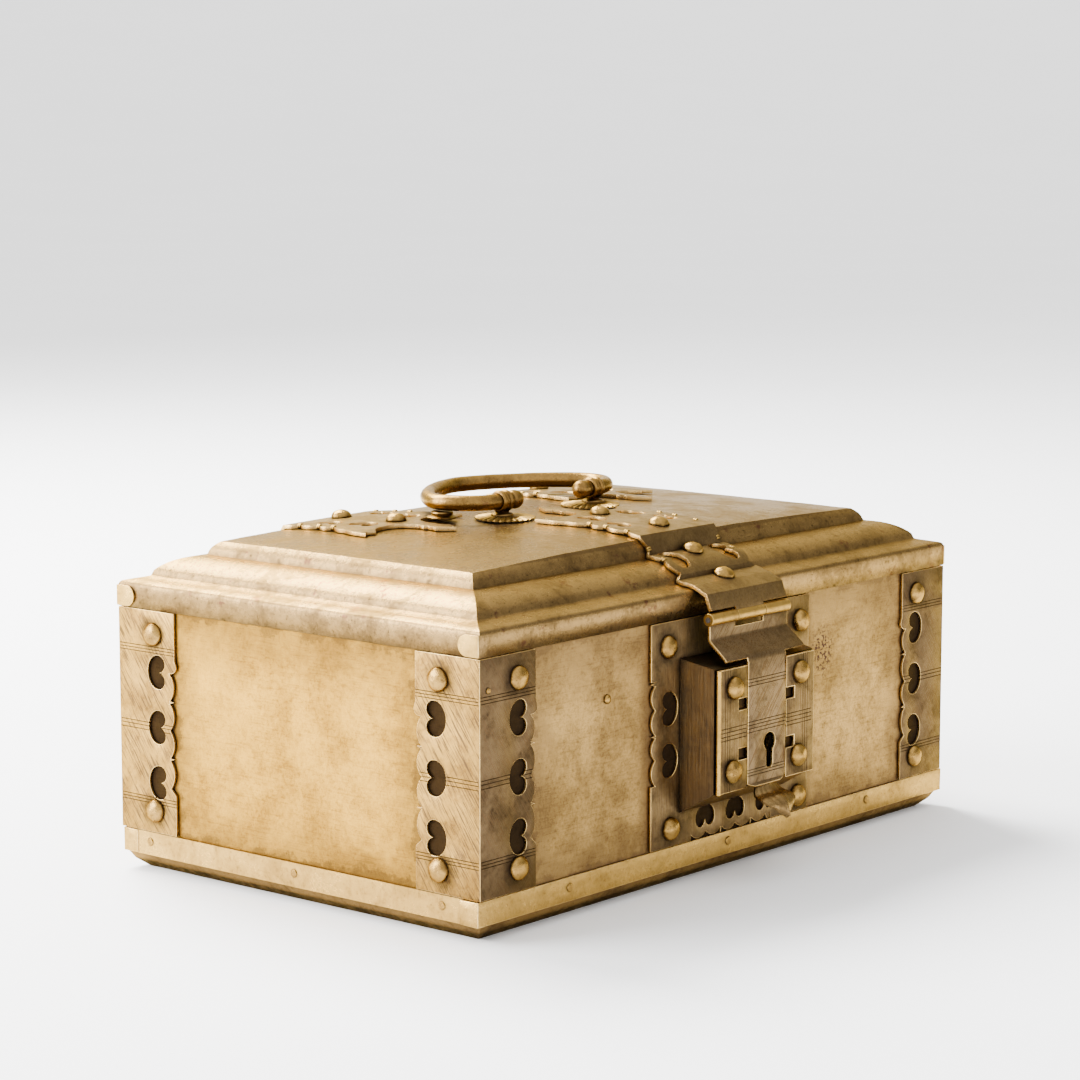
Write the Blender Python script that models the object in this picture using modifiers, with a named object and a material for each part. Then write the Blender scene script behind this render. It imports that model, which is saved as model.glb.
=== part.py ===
"""Brass jewel casket: a riveted sheet-brass box with a moulded lid, strap hinges, hasp lock and bail handle.

The casket stands on z = 0 with its lock towards -Y. All sizes below are in millimetres
and are turned into metres where a mesh is made.
"""

import math

import bmesh
import bpy
from mathutils import Matrix, Vector

MM = 0.001

# Driving dimensions
LENGTH = 300.0  # over the corner straps, along X
DEPTH = 188.0  # over the corner straps, along Y
BAND_BOTTOM = 6.7
BAND_TOP = 16.0
SEAM = 104.6  # lower edge of the lid's rim
SHEET = 1.8  # walls and base
STRAP = 1.0  # straps, bands and plates laid on the walls
LEAF = 1.2  # hasp, guides, lock case and lid
GAP = 0.3  # air kept between two pieces that touch

HALF_X = LENGTH / 2
HALF_Y = DEPTH / 2
WALL_INSET = STRAP + GAP  # outer face of the walls, in from the straps' outer face
STRAP_TOP = SEAM - 0.4

# Lid section: inset from the rim's face, height, and the share of the crown that reaches it
LID_SECTION = [
    (0.0, SEAM, 0.0),
    (0.0, 113.3, 0.0),
    (1.2, 114.4, 0.0),
    (9.0, 116.2, 0.0),
    (9.6, 117.8, 0.0),
    (11.8, 119.9, 0.0),
    (15.0, 122.0, 0.0),
    (18.5, 123.2, 0.0),
    (22.0, 123.9, 0.0),
    (24.3, 124.0, 0.0),
    (25.2, 125.8, 0.1),
    (26.2, 127.4, 0.4),
    (28.5, 129.3, 1.0),
]
PANEL_INSET, PANEL_EDGE_Z = LID_SECTION[-1][:2]
LONG_BOW = 2.0  # how far the panel's long edges rise at their middle
SHORT_BOW = 0.3
CROWN = 2.6  # further rise of the panel's middle

# Joint axes, as (y, z)
LID_AXIS = (HALF_Y + 3.3, SEAM)
HASP_AXIS = (-101.2, 103.5)
HANDLE_AXIS = (0.0, 141.6)

# Hinges
STRAP_HALF = 24.5
KNUCKLE_HALF = 25.5
LID_KNUCKLE = 3.0
LID_PIN = 1.2
HASP_KNUCKLE = 2.5
HASP_PIN = 1.0
KNUCKLE_SPLIT = 9.0
REAR_STRAP_X = 62.0

# Lock
PLATE_HALF = 51.3
CASE_BASE = (-34.0, 34.0, 28.8, 89.0)
CASE_FACE = (-32.0, 32.0, 37.5, 86.0)
CASE_FACE_Y = -109.3
GUIDE_Y = CASE_FACE_Y - GAP
GUIDE_IN, GUIDE_OUT = 12.8, 31.4
TONGUE_HALF = 12.3
KEYHOLE = (2.0, 53.4, 3.7, 2.1, 43.2)  # x, z of the round, its radius, half the slot, slot's foot
STAPLE_Z = 70.0
BOLT_Z = 70.0
BOLT_Y = -104.0

# Handle
POST_X = 28.7
BAIL_ROD = 3.1
BAIL_HALF, BAIL_WIDEST, BAIL_REACH = 48.0, 16.0, 50.0  # half width, how far back it is widest, reach
BALL_X, BALL = 21.3, 4.0
EYE_OUT, EYE_BORE, EYE_WIDTH = 4.5, 3.4, 6.0
ROSETTE_X, ROSETTE = 27.0, 12.3
STUD_AT = (47.0, 16.0)
STUD = 6.2

# Dome rivets
RIVET, RIVET_RISE = 4.6, 3.3

BRASS = (0.42, 0.29, 0.12)
DARK_BRASS = (0.30, 0.20, 0.09)
BRIGHT_BRASS = (0.62, 0.44, 0.20)
STEEL = (0.20, 0.19, 0.18)


def clear_scene():
    for obj in list(bpy.data.objects):
        bpy.data.objects.remove(obj, do_unlink=True)


def new_collection(name, hidden=False):
    made = bpy.data.collections.new(name)
    made.hide_render = hidden
    bpy.context.scene.collection.children.link(made)
    return made


def brass(name, colour, roughness):
    made = bpy.data.materials.new(name)
    made.use_nodes = True
    shader = made.node_tree.nodes["Principled BSDF"]
    shader.inputs["Base Color"].default_value = (*colour, 1.0)
    shader.inputs["Roughness"].default_value = roughness
    shader.inputs["Metallic"].default_value = 1.0
    return made


def add_axis(name, at, parent=None):
    """An empty on a joint's axis, which the pieces that turn about it hang from."""
    axis = bpy.data.objects.new(name, None)
    axis.location = Vector(at) * MM
    if parent:
        axis.parent = parent
        axis.location = axis.location - world_place(parent)
    PARTS.objects.link(axis)
    return axis


def world_place(obj):
    place = obj.location.copy()
    while obj.parent:
        obj = obj.parent
        place += obj.location
    return place


def add_part(name, bm, colour, roughness=0.4, axis=None):
    """Makes the piece from a bmesh in world millimetres, with its origin on its axis."""
    bm.transform(Matrix.Scale(MM, 4))
    if axis:
        bm.transform(Matrix.Translation(-world_place(axis)))
    mesh = bpy.data.meshes.new(name)
    bm.to_mesh(mesh)
    bm.free()
    mesh.shade_smooth()
    mesh.set_sharp_from_angle(angle=math.radians(30))
    part = bpy.data.objects.new(name, mesh)
    part.parent = axis
    mesh.materials.append(brass(name, colour, roughness))
    PARTS.objects.link(part)
    return part


def add_cutter(name, bm):
    bm.transform(Matrix.Scale(MM, 4))
    mesh = bpy.data.meshes.new(name)
    bm.to_mesh(mesh)
    bm.free()
    cutter = bpy.data.objects.new(name, mesh)
    cutter.hide_render = True
    cutter.display_type = "WIRE"
    CUTTERS.objects.link(cutter)
    return cutter


def boolean(part, cutter, operation):
    step = part.modifiers.new(cutter.name, "BOOLEAN")
    step.operation = operation
    step.object = cutter


def thicken(part, thickness, offset=1.0):
    step = part.modifiers.new("thickness", "SOLIDIFY")
    step.thickness = thickness * MM
    step.offset = offset
    step.use_even_offset = True


def box(low, high):
    bm = bmesh.new()
    size = Vector(high) - Vector(low)
    middle = (Vector(high) + Vector(low)) / 2
    bmesh.ops.create_cube(bm, size=1.0, matrix=Matrix.Translation(middle) @ Matrix.Diagonal((*size, 1.0)))
    return bm


def rod_along_x(y, z, radius, x0, x1, sides=16):
    bm = bmesh.new()
    place = Matrix.Translation(((x0 + x1) / 2, y, z)) @ Matrix.Rotation(math.pi / 2, 4, "Y")
    bmesh.ops.create_cone(
        bm, cap_ends=True, segments=sides, radius1=radius, radius2=radius, depth=x1 - x0, matrix=place
    )
    return bm


def turned(profile, sides, place):
    """A solid of revolution about its own Z, from (radius, height) points listed bottom to top."""
    bm = bmesh.new()
    rings = []
    for radius, height in profile:
        if radius == 0:
            rings.append([bm.verts.new((0, 0, height))])
            continue
        ring = []
        for i in range(sides):
            turn = 2 * math.pi * i / sides
            ring.append(bm.verts.new((radius * math.cos(turn), radius * math.sin(turn), height)))
        rings.append(ring)
    for lower, upper in zip(rings, rings[1:]):
        for i in range(sides):
            j = (i + 1) % sides
            corners = [lower[i % len(lower)], lower[j % len(lower)], upper[j % len(upper)], upper[i % len(upper)]]
            bm.faces.new(list(dict.fromkeys(corners)))
    for ring in (rings[0], rings[-1]):
        if len(ring) > 1:
            bm.faces.new(ring)
    bmesh.ops.recalc_face_normals(bm, faces=bm.faces)
    bm.transform(place)
    return bm


def dome(at, facing, sunk=-GAP, radius=RIVET, rise=RIVET_RISE, sides=10):
    """A rivet's domed head, standing off its plate by -sunk, or sunk into it where it is joined to it."""
    profile = [(radius, -max(sunk, 0.0)), (radius, 0.3)]
    for tilt in (30, 60):
        angle = math.radians(tilt)
        profile.append((radius * math.cos(angle), 0.3 + (rise - 0.3) * math.sin(angle)))
    profile.append((0, rise))
    lift = Matrix.Translation((0, 0, max(-sunk, 0.0)))
    turn = Vector((0, 0, 1)).rotation_difference(Vector(facing)).to_matrix().to_4x4()
    return turned(profile, sides, Matrix.Translation(at) @ turn @ lift)


def bent_sheet(outline, holes, folds_u, folds_v, place, facing):
    """Fills a flat outline with its holes, folds it along the given lines, and bends it with place(u, v)."""
    bm = bmesh.new()
    for loop in (outline, *holes):
        verts = [bm.verts.new((u, v, 0)) for u, v in loop]
        for a, b in zip(verts, verts[1:] + verts[:1]):
            bm.edges.new((a, b))
    bmesh.ops.triangle_fill(bm, use_beauty=True, use_dissolve=False, edges=bm.edges)
    for fold in folds_u:
        everything = [*bm.verts, *bm.edges, *bm.faces]
        bmesh.ops.bisect_plane(bm, geom=everything, plane_co=(fold, 0, 0), plane_no=(1, 0, 0), dist=1e-4)
    for fold in folds_v:
        everything = [*bm.verts, *bm.edges, *bm.faces]
        bmesh.ops.bisect_plane(bm, geom=everything, plane_co=(0, fold, 0), plane_no=(0, 1, 0), dist=1e-4)
    bmesh.ops.triangulate(bm, faces=bm.faces)
    for vert in bm.verts:
        vert.co = Vector(place(vert.co.x, vert.co.y))
    bm.normal_update()
    largest = max(bm.faces, key=lambda face: face.calc_area())
    if largest.normal.dot(Vector(facing)) < 0:
        bmesh.ops.reverse_faces(bm, faces=bm.faces)
    return bm


def lobe(start, end, bulge, steps=3):
    """Points after start up to end along an arc that bulges to the left of the way from start to end."""
    start, end = Vector(start), Vector(end)
    side = Vector((-(end - start).y, (end - start).x)).normalized()
    points = []
    for i in range(1, steps + 1):
        share = i / steps
        points.append(tuple(start.lerp(end, share) + side * bulge * math.sin(math.pi * share)))
    return points


def scallops(start, stops, bulge):
    """A run of lobes from start through each of the stops."""
    points = []
    for stop in stops:
        points += lobe(start, stop, bulge)
        start = stop
    return points


def heart(u, v, turn_deg):
    """A pierced heart 13.5 tall and 10 wide whose cleft faces +u before it is turned."""
    points = []
    for i in range(6):
        angle = math.radians(90 + 180 * i / 5)
        points.append((5.6 * math.cos(angle), 6.7 * math.sin(angle)))
    for i in range(1, 4):
        angle = math.radians(-90 + 46 * i)
        points.append((0.3 + 3.6 * math.cos(angle), -3.3 + 3.4 * math.sin(angle)))
    points.append((1.4, 0.0))
    for i in range(1, 4):
        angle = math.radians(90 - 46 * (4 - i))
        points.append((0.3 + 3.6 * math.cos(angle), 3.3 + 3.4 * math.sin(angle)))
    turn = Matrix.Rotation(math.radians(turn_deg), 2)
    return [tuple(turn @ Vector(point) + Vector((u, v))) for point in points]


def crown(x, y):
    """How far the lid's top panel rises above its corners."""
    across = (x / (HALF_X - PANEL_INSET)) ** 2
    along = (y / (HALF_Y - PANEL_INSET)) ** 2
    return LONG_BOW * (1 - across) + SHORT_BOW * (1 - along) + CROWN * (1 - across) * (1 - along**2)


def panel_z(x, y):
    return PANEL_EDGE_Z + crown(x, y)


# --- base and walls ---


def ring_of(bm, inset, height, count_x, count_y, rise=None):
    """One closed ring of a mitred moulding, counter-clockwise seen from above."""
    half_x, half_y = HALF_X - inset, HALF_Y - inset
    spots = [(-half_x + 2 * half_x * i / count_x, -half_y) for i in range(count_x)]
    spots += [(half_x, -half_y + 2 * half_y * i / count_y) for i in range(count_y)]
    spots += [(half_x - 2 * half_x * i / count_x, half_y) for i in range(count_x)]
    spots += [(-half_x, half_y - 2 * half_y * i / count_y) for i in range(count_y)]
    return [bm.verts.new((x, y, height + (rise(x, y) if rise else 0.0))) for x, y in spots]


def join_rings(bm, lower, upper):
    for i in range(len(lower)):
        j = (i + 1) % len(lower)
        bm.faces.new((lower[i], lower[j], upper[j], upper[i]))


def base_pan():
    """A shallow tray: a flat floor, a chamfered underside and an upstand behind the base band."""
    section = [
        (WALL_INSET + SHEET, BAND_TOP - 1.3),
        (WALL_INSET, BAND_TOP - 1.3),
        (WALL_INSET, BAND_BOTTOM + 0.2),
        (3.6, 3.2),
        (7.5, 0.0),
    ]
    inner = [(8.2, SHEET), (4.9, 4.4), (WALL_INSET + SHEET, BAND_BOTTOM + 0.8)]
    bm = bmesh.new()
    rings = [ring_of(bm, inset, height, 1, 1) for inset, height in section + inner]
    for lower, upper in zip(rings, rings[1:]):
        if lower is rings[len(section) - 1]:
            continue
        join_rings(bm, lower, upper)
    join_rings(bm, rings[-1], rings[0])
    bm.faces.new(rings[len(section) - 1])
    bm.faces.new(rings[len(section)])
    bmesh.ops.recalc_face_normals(bm, faces=bm.faces)
    add_part("base_pan", bm, DARK_BRASS, 0.5)


def wall_panels():
    out_x, out_y = HALF_X - WALL_INSET, HALF_Y - WALL_INSET
    foot, top = BAND_TOP - 1.0, STRAP_TOP
    end_y = out_y - SHEET - GAP
    add_part("front_panel", box((-out_x, -out_y, foot), (out_x, -out_y + SHEET, top)), BRASS)
    add_part("back_panel", box((-out_x, out_y - SHEET, foot), (out_x, out_y, top)), BRASS)
    add_part("left_end_panel", box((-out_x, -end_y, foot), (-out_x + SHEET, end_y, top)), BRASS)
    add_part("right_end_panel", box((out_x - SHEET, -end_y, foot), (out_x, end_y, top)), BRASS)


def base_bands():
    """Front and back bands lap round the corners over the ends of the end bands."""
    thin = 0.9
    tab = 8.0
    in_x, in_y = HALF_X - STRAP, HALF_Y - STRAP
    lap_x = in_x + thin + GAP
    for name, side in (("front", -1), ("back", 1)):
        length = 2 * lap_x
        outline = [(-tab, 0), (length + tab, 0), (length + tab, BAND_TOP - BAND_BOTTOM), (-tab, BAND_TOP - BAND_BOTTOM)]

        def place(u, v, side=side, length=length):
            x = min(max(u, 0.0), length) - lap_x
            back = max(-u, 0.0) + max(u - length, 0.0)
            return (x, side * (in_y - back), BAND_BOTTOM + v)

        bm = bent_sheet(outline, [], (0.0, length), (), place, (0, side, 0))
        part = add_part(f"base_band_{name}", bm, BRIGHT_BRASS, 0.35)
        thicken(part, thin)
    for name, side in (("left", -1), ("right", 1)):
        x0, x1 = sorted((side * in_x, side * (in_x + thin)))
        end_y = in_y - GAP
        bm = box((x0, -end_y, BAND_BOTTOM), (x1, end_y, BAND_TOP))
        add_part(f"base_band_{name}", bm, BRIGHT_BRASS, 0.35)


CORNER_HEARTS = (80.3, 58.5, 36.5)
CORNER_RIVETS = ((20.0, 95.0), (20.0, 25.0), (-18.6, 95.0), (-18.6, 25.0))


def corner_outline(half=30.0, notch=27.2):
    """The unfolded corner strap, u = 0 on its fold: straight at its ends, scalloped beside its hearts."""
    stops = (80.4, 69.5, 58.0, 47.0, 34.9, 32.4)
    points = [(half, STRAP_TOP), (-half, STRAP_TOP), (-half, 85.4)]
    points += scallops(points[-1], [(-notch, z) for z in stops], -2.2)
    points += [(-half, 32.4), (-half, BAND_TOP + GAP), (half, BAND_TOP + GAP), (half, 32.4), (notch, 32.4)]
    points += scallops(points[-1], [(notch, z) for z in stops[-2::-1]] + [(half, 85.4)], -2.2)
    return points


def corner_straps():
    """L-shaped pierced straps over the four upright corners, each one piece with its four clenched rivets."""
    in_x, in_y = HALF_X - STRAP, HALF_Y - STRAP
    holes = []
    for z in CORNER_HEARTS:
        holes.append(heart(20.7, z, 0))
        holes.append(heart(-20.7, z, 180))
    for name_y, side_y in (("front", -1), ("back", 1)):
        for name_x, side_x in (("left", -1), ("right", 1)):

            def place(u, v, side_x=side_x, side_y=side_y):
                return (side_x * (in_x - max(u, 0.0)), side_y * (in_y - max(-u, 0.0)), v)

            name = f"corner_strap_{name_y}_{name_x}"
            bm = bent_sheet(corner_outline(), holes, (0.0,), (), place, (side_x, side_y, 0))
            part = add_part(name, bm, BRASS, 0.42)
            thicken(part, STRAP)
            for number, (u, z) in enumerate(CORNER_RIVETS, 1):
                x, y, _ = place(u, z)
                facing = (0, side_y, 0) if u > 0 else (side_x, 0, 0)
                at = Vector((x, y, z)) + Vector(facing) * STRAP
                head = add_cutter(f"{name}_rivet_{number}", dome(at, facing, sunk=0.5))
                boolean(part, head, "UNION")


# --- lock ---


def keyhole():
    """A round with a slot below it, counter-clockwise."""
    x, z, radius, half_slot, foot = KEYHOLE
    below = math.asin(half_slot / radius)
    points = []
    for i in range(13):
        angle = -math.pi / 2 + below + (2 * math.pi - 2 * below) * i / 12
        points.append((x + radius * math.cos(angle), z + radius * math.sin(angle)))
    return points + [(x - half_slot, foot), (x + half_slot, foot)]


def lock_plate():
    edge, notch = PLATE_HALF, PLATE_HALF - 2.6
    low, top = BAND_TOP + GAP, SEAM - 0.6
    side_stops = (70.8, 61.0, 51.4, 41.5)
    foot_stops = (26.0, 22.7, 12.6, 2.6, -7.0, -16.4, -26.0)
    points = [(edge, top), (-edge, top), (-edge, 81.0), (-notch, 81.0)]
    points += scallops(points[-1], [(-notch, z) for z in side_stops], -2.4)
    points += [(-edge, 41.5), (-edge, low), (-26.0, low), (-26.0, low + 2.2)]
    points += scallops(points[-1], [(x, low + 2.2) for x in foot_stops[-2::-1]], -2.0)
    points += [(26.0, low), (edge, low), (edge, 41.5), (notch, 41.5)]
    points += scallops(points[-1], [(notch, z) for z in (*side_stops[-2::-1], 81.0)], -2.4)
    points += [(edge, 81.0)]
    holes = []
    for z in (70.4, 50.2):
        holes.append(heart(-40.5, z, 180))
        holes.append(heart(40.5, z, 0))
    for x in (-17.0, 2.4, 22.2):
        holes.append(heart(x, 24.2, -90))
    in_y = HALF_Y - STRAP
    bm = bent_sheet(points, holes, (), (), lambda u, v: (u, -in_y, v), (0, -1, 0))
    thicken(add_part("lock_plate", bm, BRASS, 0.42), STRAP)


def lock_case():
    """A hollow housing like a cut-off pyramid, open at its back and slotted for the hasp's staple."""
    base_y = -HALF_Y - GAP
    bm = bmesh.new()
    corners = []
    for y, (x0, x1, z0, z1) in ((base_y, CASE_BASE), (CASE_FACE_Y, CASE_FACE)):
        corners.append([bm.verts.new(spot) for spot in ((x0, y, z0), (x1, y, z0), (x1, y, z1), (x0, y, z1))])
    join_rings(bm, corners[0], corners[1])
    bm.faces.new(corners[1])
    bmesh.ops.recalc_face_normals(bm, faces=bm.faces)
    bm.normal_update()
    face = max(bm.faces, key=lambda each: abs(each.normal.y))
    if face.normal.y > 0:
        bmesh.ops.reverse_faces(bm, faces=bm.faces)
    part = add_part("lock_case", bm, BRASS, 0.45)
    thicken(part, LEAF, offset=-1.0)
    behind = box((-50.0, base_y, 10.0), (50.0, base_y + 5.0, 110.0))
    boolean(part, add_cutter("case_back", behind), "DIFFERENCE")
    slot = box((-3.4, -112.0, STAPLE_Z - 8.0), (3.4, -97.5, 95.0))
    boolean(part, add_cutter("staple_slot", slot), "DIFFERENCE")
    bm = bmesh.new()
    bm.faces.new([bm.verts.new((x, -113.0, z)) for x, z in keyhole()])
    grown = bmesh.ops.extrude_face_region(bm, geom=bm.faces[:])
    bmesh.ops.translate(bm, vec=(0, 7.0, 0), verts=[v for v in grown["geom"] if isinstance(v, bmesh.types.BMVert)])
    bmesh.ops.recalc_face_normals(bm, faces=bm.faces)
    boolean(part, add_cutter("keyhole", bm), "DIFFERENCE")


def lock_guides():
    """Two plates that the tongue lies between, each with two square notches and a bead on its outer edge."""
    low, top = 37.3, 85.6
    for name, side in (("left", -1), ("right", 1)):
        points = [(GUIDE_IN, low), (GUIDE_OUT, low), (GUIDE_OUT, top), (GUIDE_IN, top)]
        for z in (73.0, 53.5):
            points += [(GUIDE_IN, z), (GUIDE_IN + 5.5, z), (GUIDE_IN + 5.5, z - 4.4), (GUIDE_IN, z - 4.4)]
        place = lambda u, v, side=side: (side * u, GUIDE_Y, v)
        bm = bent_sheet(points, [], (), (), place, (0, -1, 0))
        part = add_part(f"lock_guide_{name}", bm, BRASS, 0.4)
        thicken(part, LEAF)
        centre_x = side * (GUIDE_OUT - 0.2)
        spot = Matrix.Translation((centre_x, GUIDE_Y - 0.75, (low + top) / 2))
        bead = bmesh.new()
        bmesh.ops.create_cone(
            bead, cap_ends=True, segments=10, radius1=1.5, radius2=1.5, depth=top - low - 0.2, matrix=spot
        )
        back = box((centre_x - 3, GUIDE_Y, low - 5), (centre_x + 3, GUIDE_Y + 5, top + 5))
        bead_part = add_cutter(f"guide_bead_{name}", bead)
        boolean(bead_part, add_cutter(f"guide_bead_back_{name}", back), "DIFFERENCE")
        boolean(part, bead_part, "UNION")


def lock_works():
    """What the case holds: the sliding bolt, its keeper and spring, and the drill pin that the key turns on."""
    thick = 1.8
    shape = [(4.0, 68.0), (9.2, 68.0), (9.2, 59.0), (11.2, 59.0), (11.2, 66.0), (14.2, 66.0), (14.2, 59.0)]
    shape += [(16.2, 59.0), (16.2, 68.0), (29.0, 68.0), (29.0, 72.0), (4.0, 72.0)]
    bolt_axis = add_axis("lock_bolt_axis", (15.5, BOLT_Y, BOLT_Z))
    bm = bent_sheet(shape, [], (), (), lambda u, v: (u, BOLT_Y + thick, v), (0, -1, 0))
    thicken(add_part("lock_bolt", bm, STEEL, 0.5, bolt_axis), 2 * thick)

    around = GAP + 0.1
    keeper = box((17.0, BOLT_Y - thick - 1.4, 66.2), (20.6, -HALF_Y - 2 * GAP, 74.0))
    part = add_part("bolt_keeper", keeper, STEEL, 0.5)
    channel = box((10.0, BOLT_Y - thick - around, 68.0 - around), (30.0, BOLT_Y + thick + around, 72.0 + around))
    boolean(part, add_cutter("keeper_channel", channel), "DIFFERENCE")

    spring_path = [(8.0, 79.5), (14.0, 79.5), (19.0, 78.0), (23.5, 74.6), (26.0, 73.4), (28.0, 73.8)]
    bm = bmesh.new()
    rows = [[bm.verts.new((x, y, z)) for y in (BOLT_Y - 1.5, BOLT_Y + 1.5)] for x, z in spring_path]
    for low, high in zip(rows, rows[1:]):
        bm.faces.new((low[0], high[0], high[1], low[1]))
    thicken(add_part("bolt_spring", bm, STEEL, 0.4), 0.5)

    x, z = KEYHOLE[:2]
    place = Matrix.Translation((x, -HALF_Y - GAP, z)) @ Matrix.Rotation(math.pi / 2, 4, "X")
    pin = turned([(2.2, 0.0), (2.2, 1.0), (1.1, 1.3), (1.1, 11.0), (0.7, 11.6)], 10, place)
    add_part("key_pin", pin, STEEL, 0.4)


def lock_rivets():
    plate_face, guide_face = -HALF_Y, GUIDE_Y - LEAF
    spots = [(-41.5, plate_face, 94.5), (45.0, plate_face, 94.0), (-39.5, plate_face, 23.5), (44.0, plate_face, 22.5)]
    spots += [(-21.6, guide_face, 77.8), (21.6, guide_face, 78.2), (-22.4, guide_face, 45.4), (20.4, guide_face, 45.2)]
    for number, spot in enumerate(spots, 1):
        add_part(f"lock_rivet_{number}", dome(spot, (0, -1, 0)), BRIGHT_BRASS, 0.25)


# --- lid ---


def lid_shell(axis):
    """The pressed lid: rim, ledge, ogee moulding and crowned panel, one sheet open below."""
    count_x, count_y = 10, 6
    bm = bmesh.new()
    rings = []
    for inset, height, share in LID_SECTION:
        rise = lambda x, y, share=share: share * crown(x, y)
        rings.append(ring_of(bm, inset, height, count_x, count_y, rise if share else None))
    for lower, upper in zip(rings, rings[1:]):
        join_rings(bm, lower, upper)
    half_x, half_y = HALF_X - PANEL_INSET, HALF_Y - PANEL_INSET
    edge = rings[-1]
    grid = {}
    for i in range(count_x + 1):
        for j in range(count_y + 1):
            x = -half_x + 2 * half_x * i / count_x
            y = -half_y + 2 * half_y * j / count_y
            on_edge = [v for v in edge if abs(v.co.x - x) < 1e-3 and abs(v.co.y - y) < 1e-3]
            grid[i, j] = on_edge[0] if on_edge else bm.verts.new((x, y, panel_z(x, y)))
    for i in range(count_x):
        for j in range(count_y):
            bm.faces.new((grid[i, j], grid[i + 1, j], grid[i + 1, j + 1], grid[i, j + 1]))
    bmesh.ops.recalc_face_normals(bm, faces=bm.faces)
    bm.normal_update()
    top = max(bm.faces, key=lambda face: face.calc_center_median().z)
    if top.normal.z < 0:
        bmesh.ops.reverse_faces(bm, faces=bm.faces)
    thicken(add_part("lid_shell", bm, BRASS, 0.42, axis), LEAF, offset=-1.0)


def lid_corner_tabs(axis):
    """Round-ended laps of the rim at the four corners, on the lid's ends."""
    reach, low, top = 9.5, SEAM + 0.3, 112.9
    radius = (top - low) / 2
    points = [(0.0, low)]
    for i in range(9):
        angle = -math.pi / 2 + math.pi * i / 8
        points.append((reach - radius + radius * math.cos(angle), low + radius + radius * math.sin(angle)))
    points.append((0.0, top))
    for name_y, side_y in (("front", -1), ("back", 1)):
        for name_x, side_x in (("left", -1), ("right", 1)):
            place = lambda u, v, sx=side_x, sy=side_y: (sx * (HALF_X + GAP), sy * (HALF_Y - 0.2 - u), v)
            bm = bent_sheet(points, [], (), (), place, (side_x, 0, 0))
            thicken(add_part(f"lid_corner_tab_{name_y}_{name_x}", bm, BRIGHT_BRASS, 0.35, axis), 0.7)


def offset_section(points, distance):
    """The open line of (inset, height, share) points moved outwards, mitred at each point."""
    moved = []
    for i, (s, z, share) in enumerate(points):
        before = points[max(i - 1, 0)]
        after = points[min(i + 1, len(points) - 1)]
        one = Vector((s - before[0], z - before[1]))
        two = Vector((after[0] - s, after[1] - z))
        one = two if one.length == 0 else one
        two = one if two.length == 0 else two
        normals = [Vector((-way.y, way.x)).normalized() for way in (one, two)]
        mitre = normals[0] + normals[1]
        mitre = mitre / max(mitre.length_squared / 2, 0.6)
        moved.append((s + mitre.x * distance, z + mitre.y * distance, share))
    return moved


def strap_path(start):
    """The inner face of a strap over the lid, from its knuckle up over the moulding and along the panel."""
    over = [point for point in LID_SECTION if point[0] > 1.0]
    panel = []
    inset = PANEL_INSET + 7.0
    while inset < 100.0:
        panel.append((inset, PANEL_EDGE_Z, 1.0))
        inset += 8.0
    return start + offset_section(over + panel, GAP + 0.05)


def follow(path, v, x, side_y):
    """The point at way v along a strap's path, with the crown of the panel under it added."""
    gone = 0.0
    for (s0, z0, w0), (s1, z1, w1) in zip(path, path[1:]):
        step = math.hypot(s1 - s0, z1 - z0)
        if v <= gone + step or (s1, z1) == path[-1][:2]:
            share = (v - gone) / step
            s, z, w = (a + (b - a) * share for a, b in ((s0, s1), (z0, z1), (w0, w1)))
            break
        gone += step
    y = side_y * (HALF_Y - s)
    return (x, y, z + w * crown(x, y))


def path_marks(path):
    """The way along the path to each of its points."""
    marks = [0.0]
    for (s0, z0, _), (s1, z1, _) in zip(path, path[1:]):
        marks.append(marks[-1] + math.hypot(s1 - s0, z1 - z0))
    return marks


def way_at(path, inset):
    """The way along the path at which it reaches this inset."""
    marks = path_marks(path)
    for (a, b), (m0, m1) in zip(zip(path, path[1:]), zip(marks, marks[1:])):
        if a[0] <= inset <= b[0]:
            return m0 + (m1 - m0) * (inset - a[0]) / (b[0] - a[0])
    return marks[-1]


def strap_outline(path, foot):
    """Foot points, then a scalloped side, a pair of wings and a spear between them, mirrored."""
    half, notch = STRAP_HALF, STRAP_HALF - 2.4
    right = []
    stops = [way_at(path, inset) for inset in (10.0, 17.5, 25.5, 35.5, 46.0, 54.0)]
    right += scallops((half, stops[0] - 8.0), [(notch, stop) for stop in stops], -2.2)
    wing, spear = way_at(path, 76.0), way_at(path, 99.0)
    shoulder = way_at(path, 70.0)
    right += [(25.5, way_at(path, 62.0)), (28.5, wing + 1.0), (22.0, wing + 0.5), (12.0, shoulder + 2.0)]
    right += [(5.0, shoulder + 6.0), (3.0, way_at(path, 82.0)), (3.6, way_at(path, 84.5)), (3.0, way_at(path, 87.0))]
    right += [(4.2, way_at(path, 92.0)), (0.0, spear)]
    left = [(-u, v) for u, v in right[-2::-1]]
    return foot + [(half, stops[0] - 8.0)] + right + left + [(-half, stops[0] - 8.0)]


def strap_holes(path):
    """Kidney-shaped piercings beside the rivets."""
    holes = []
    for low, high, u in ((11.5, 23.5, 16.5), (50.0, 63.0, 14.0)):
        middle = (way_at(path, low) + way_at(path, high)) / 2
        for side in (1, -1):
            holes.append(heart(side * u, middle, 0 if side > 0 else 180))
    return holes


STRAP_RIVETS = (4.7, 20.2, 37.0, 67.0)
STRAP_RIVET = 4.0


def rivet_place(path, inset, side_y, middle_x=0.0):
    """Where a strap's rivet stands on the strap's outer face, and the way it faces."""
    way = way_at(path, inset)
    before, after = (Vector(follow(path, way + d, middle_x, side_y)) for d in (-0.5, 0.5))
    up = (after - before).cross(Vector((1, 0, 0))).normalized()
    up = -up if up.z < 0 else up
    return (before + after) / 2 + up * STRAP, up


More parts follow.
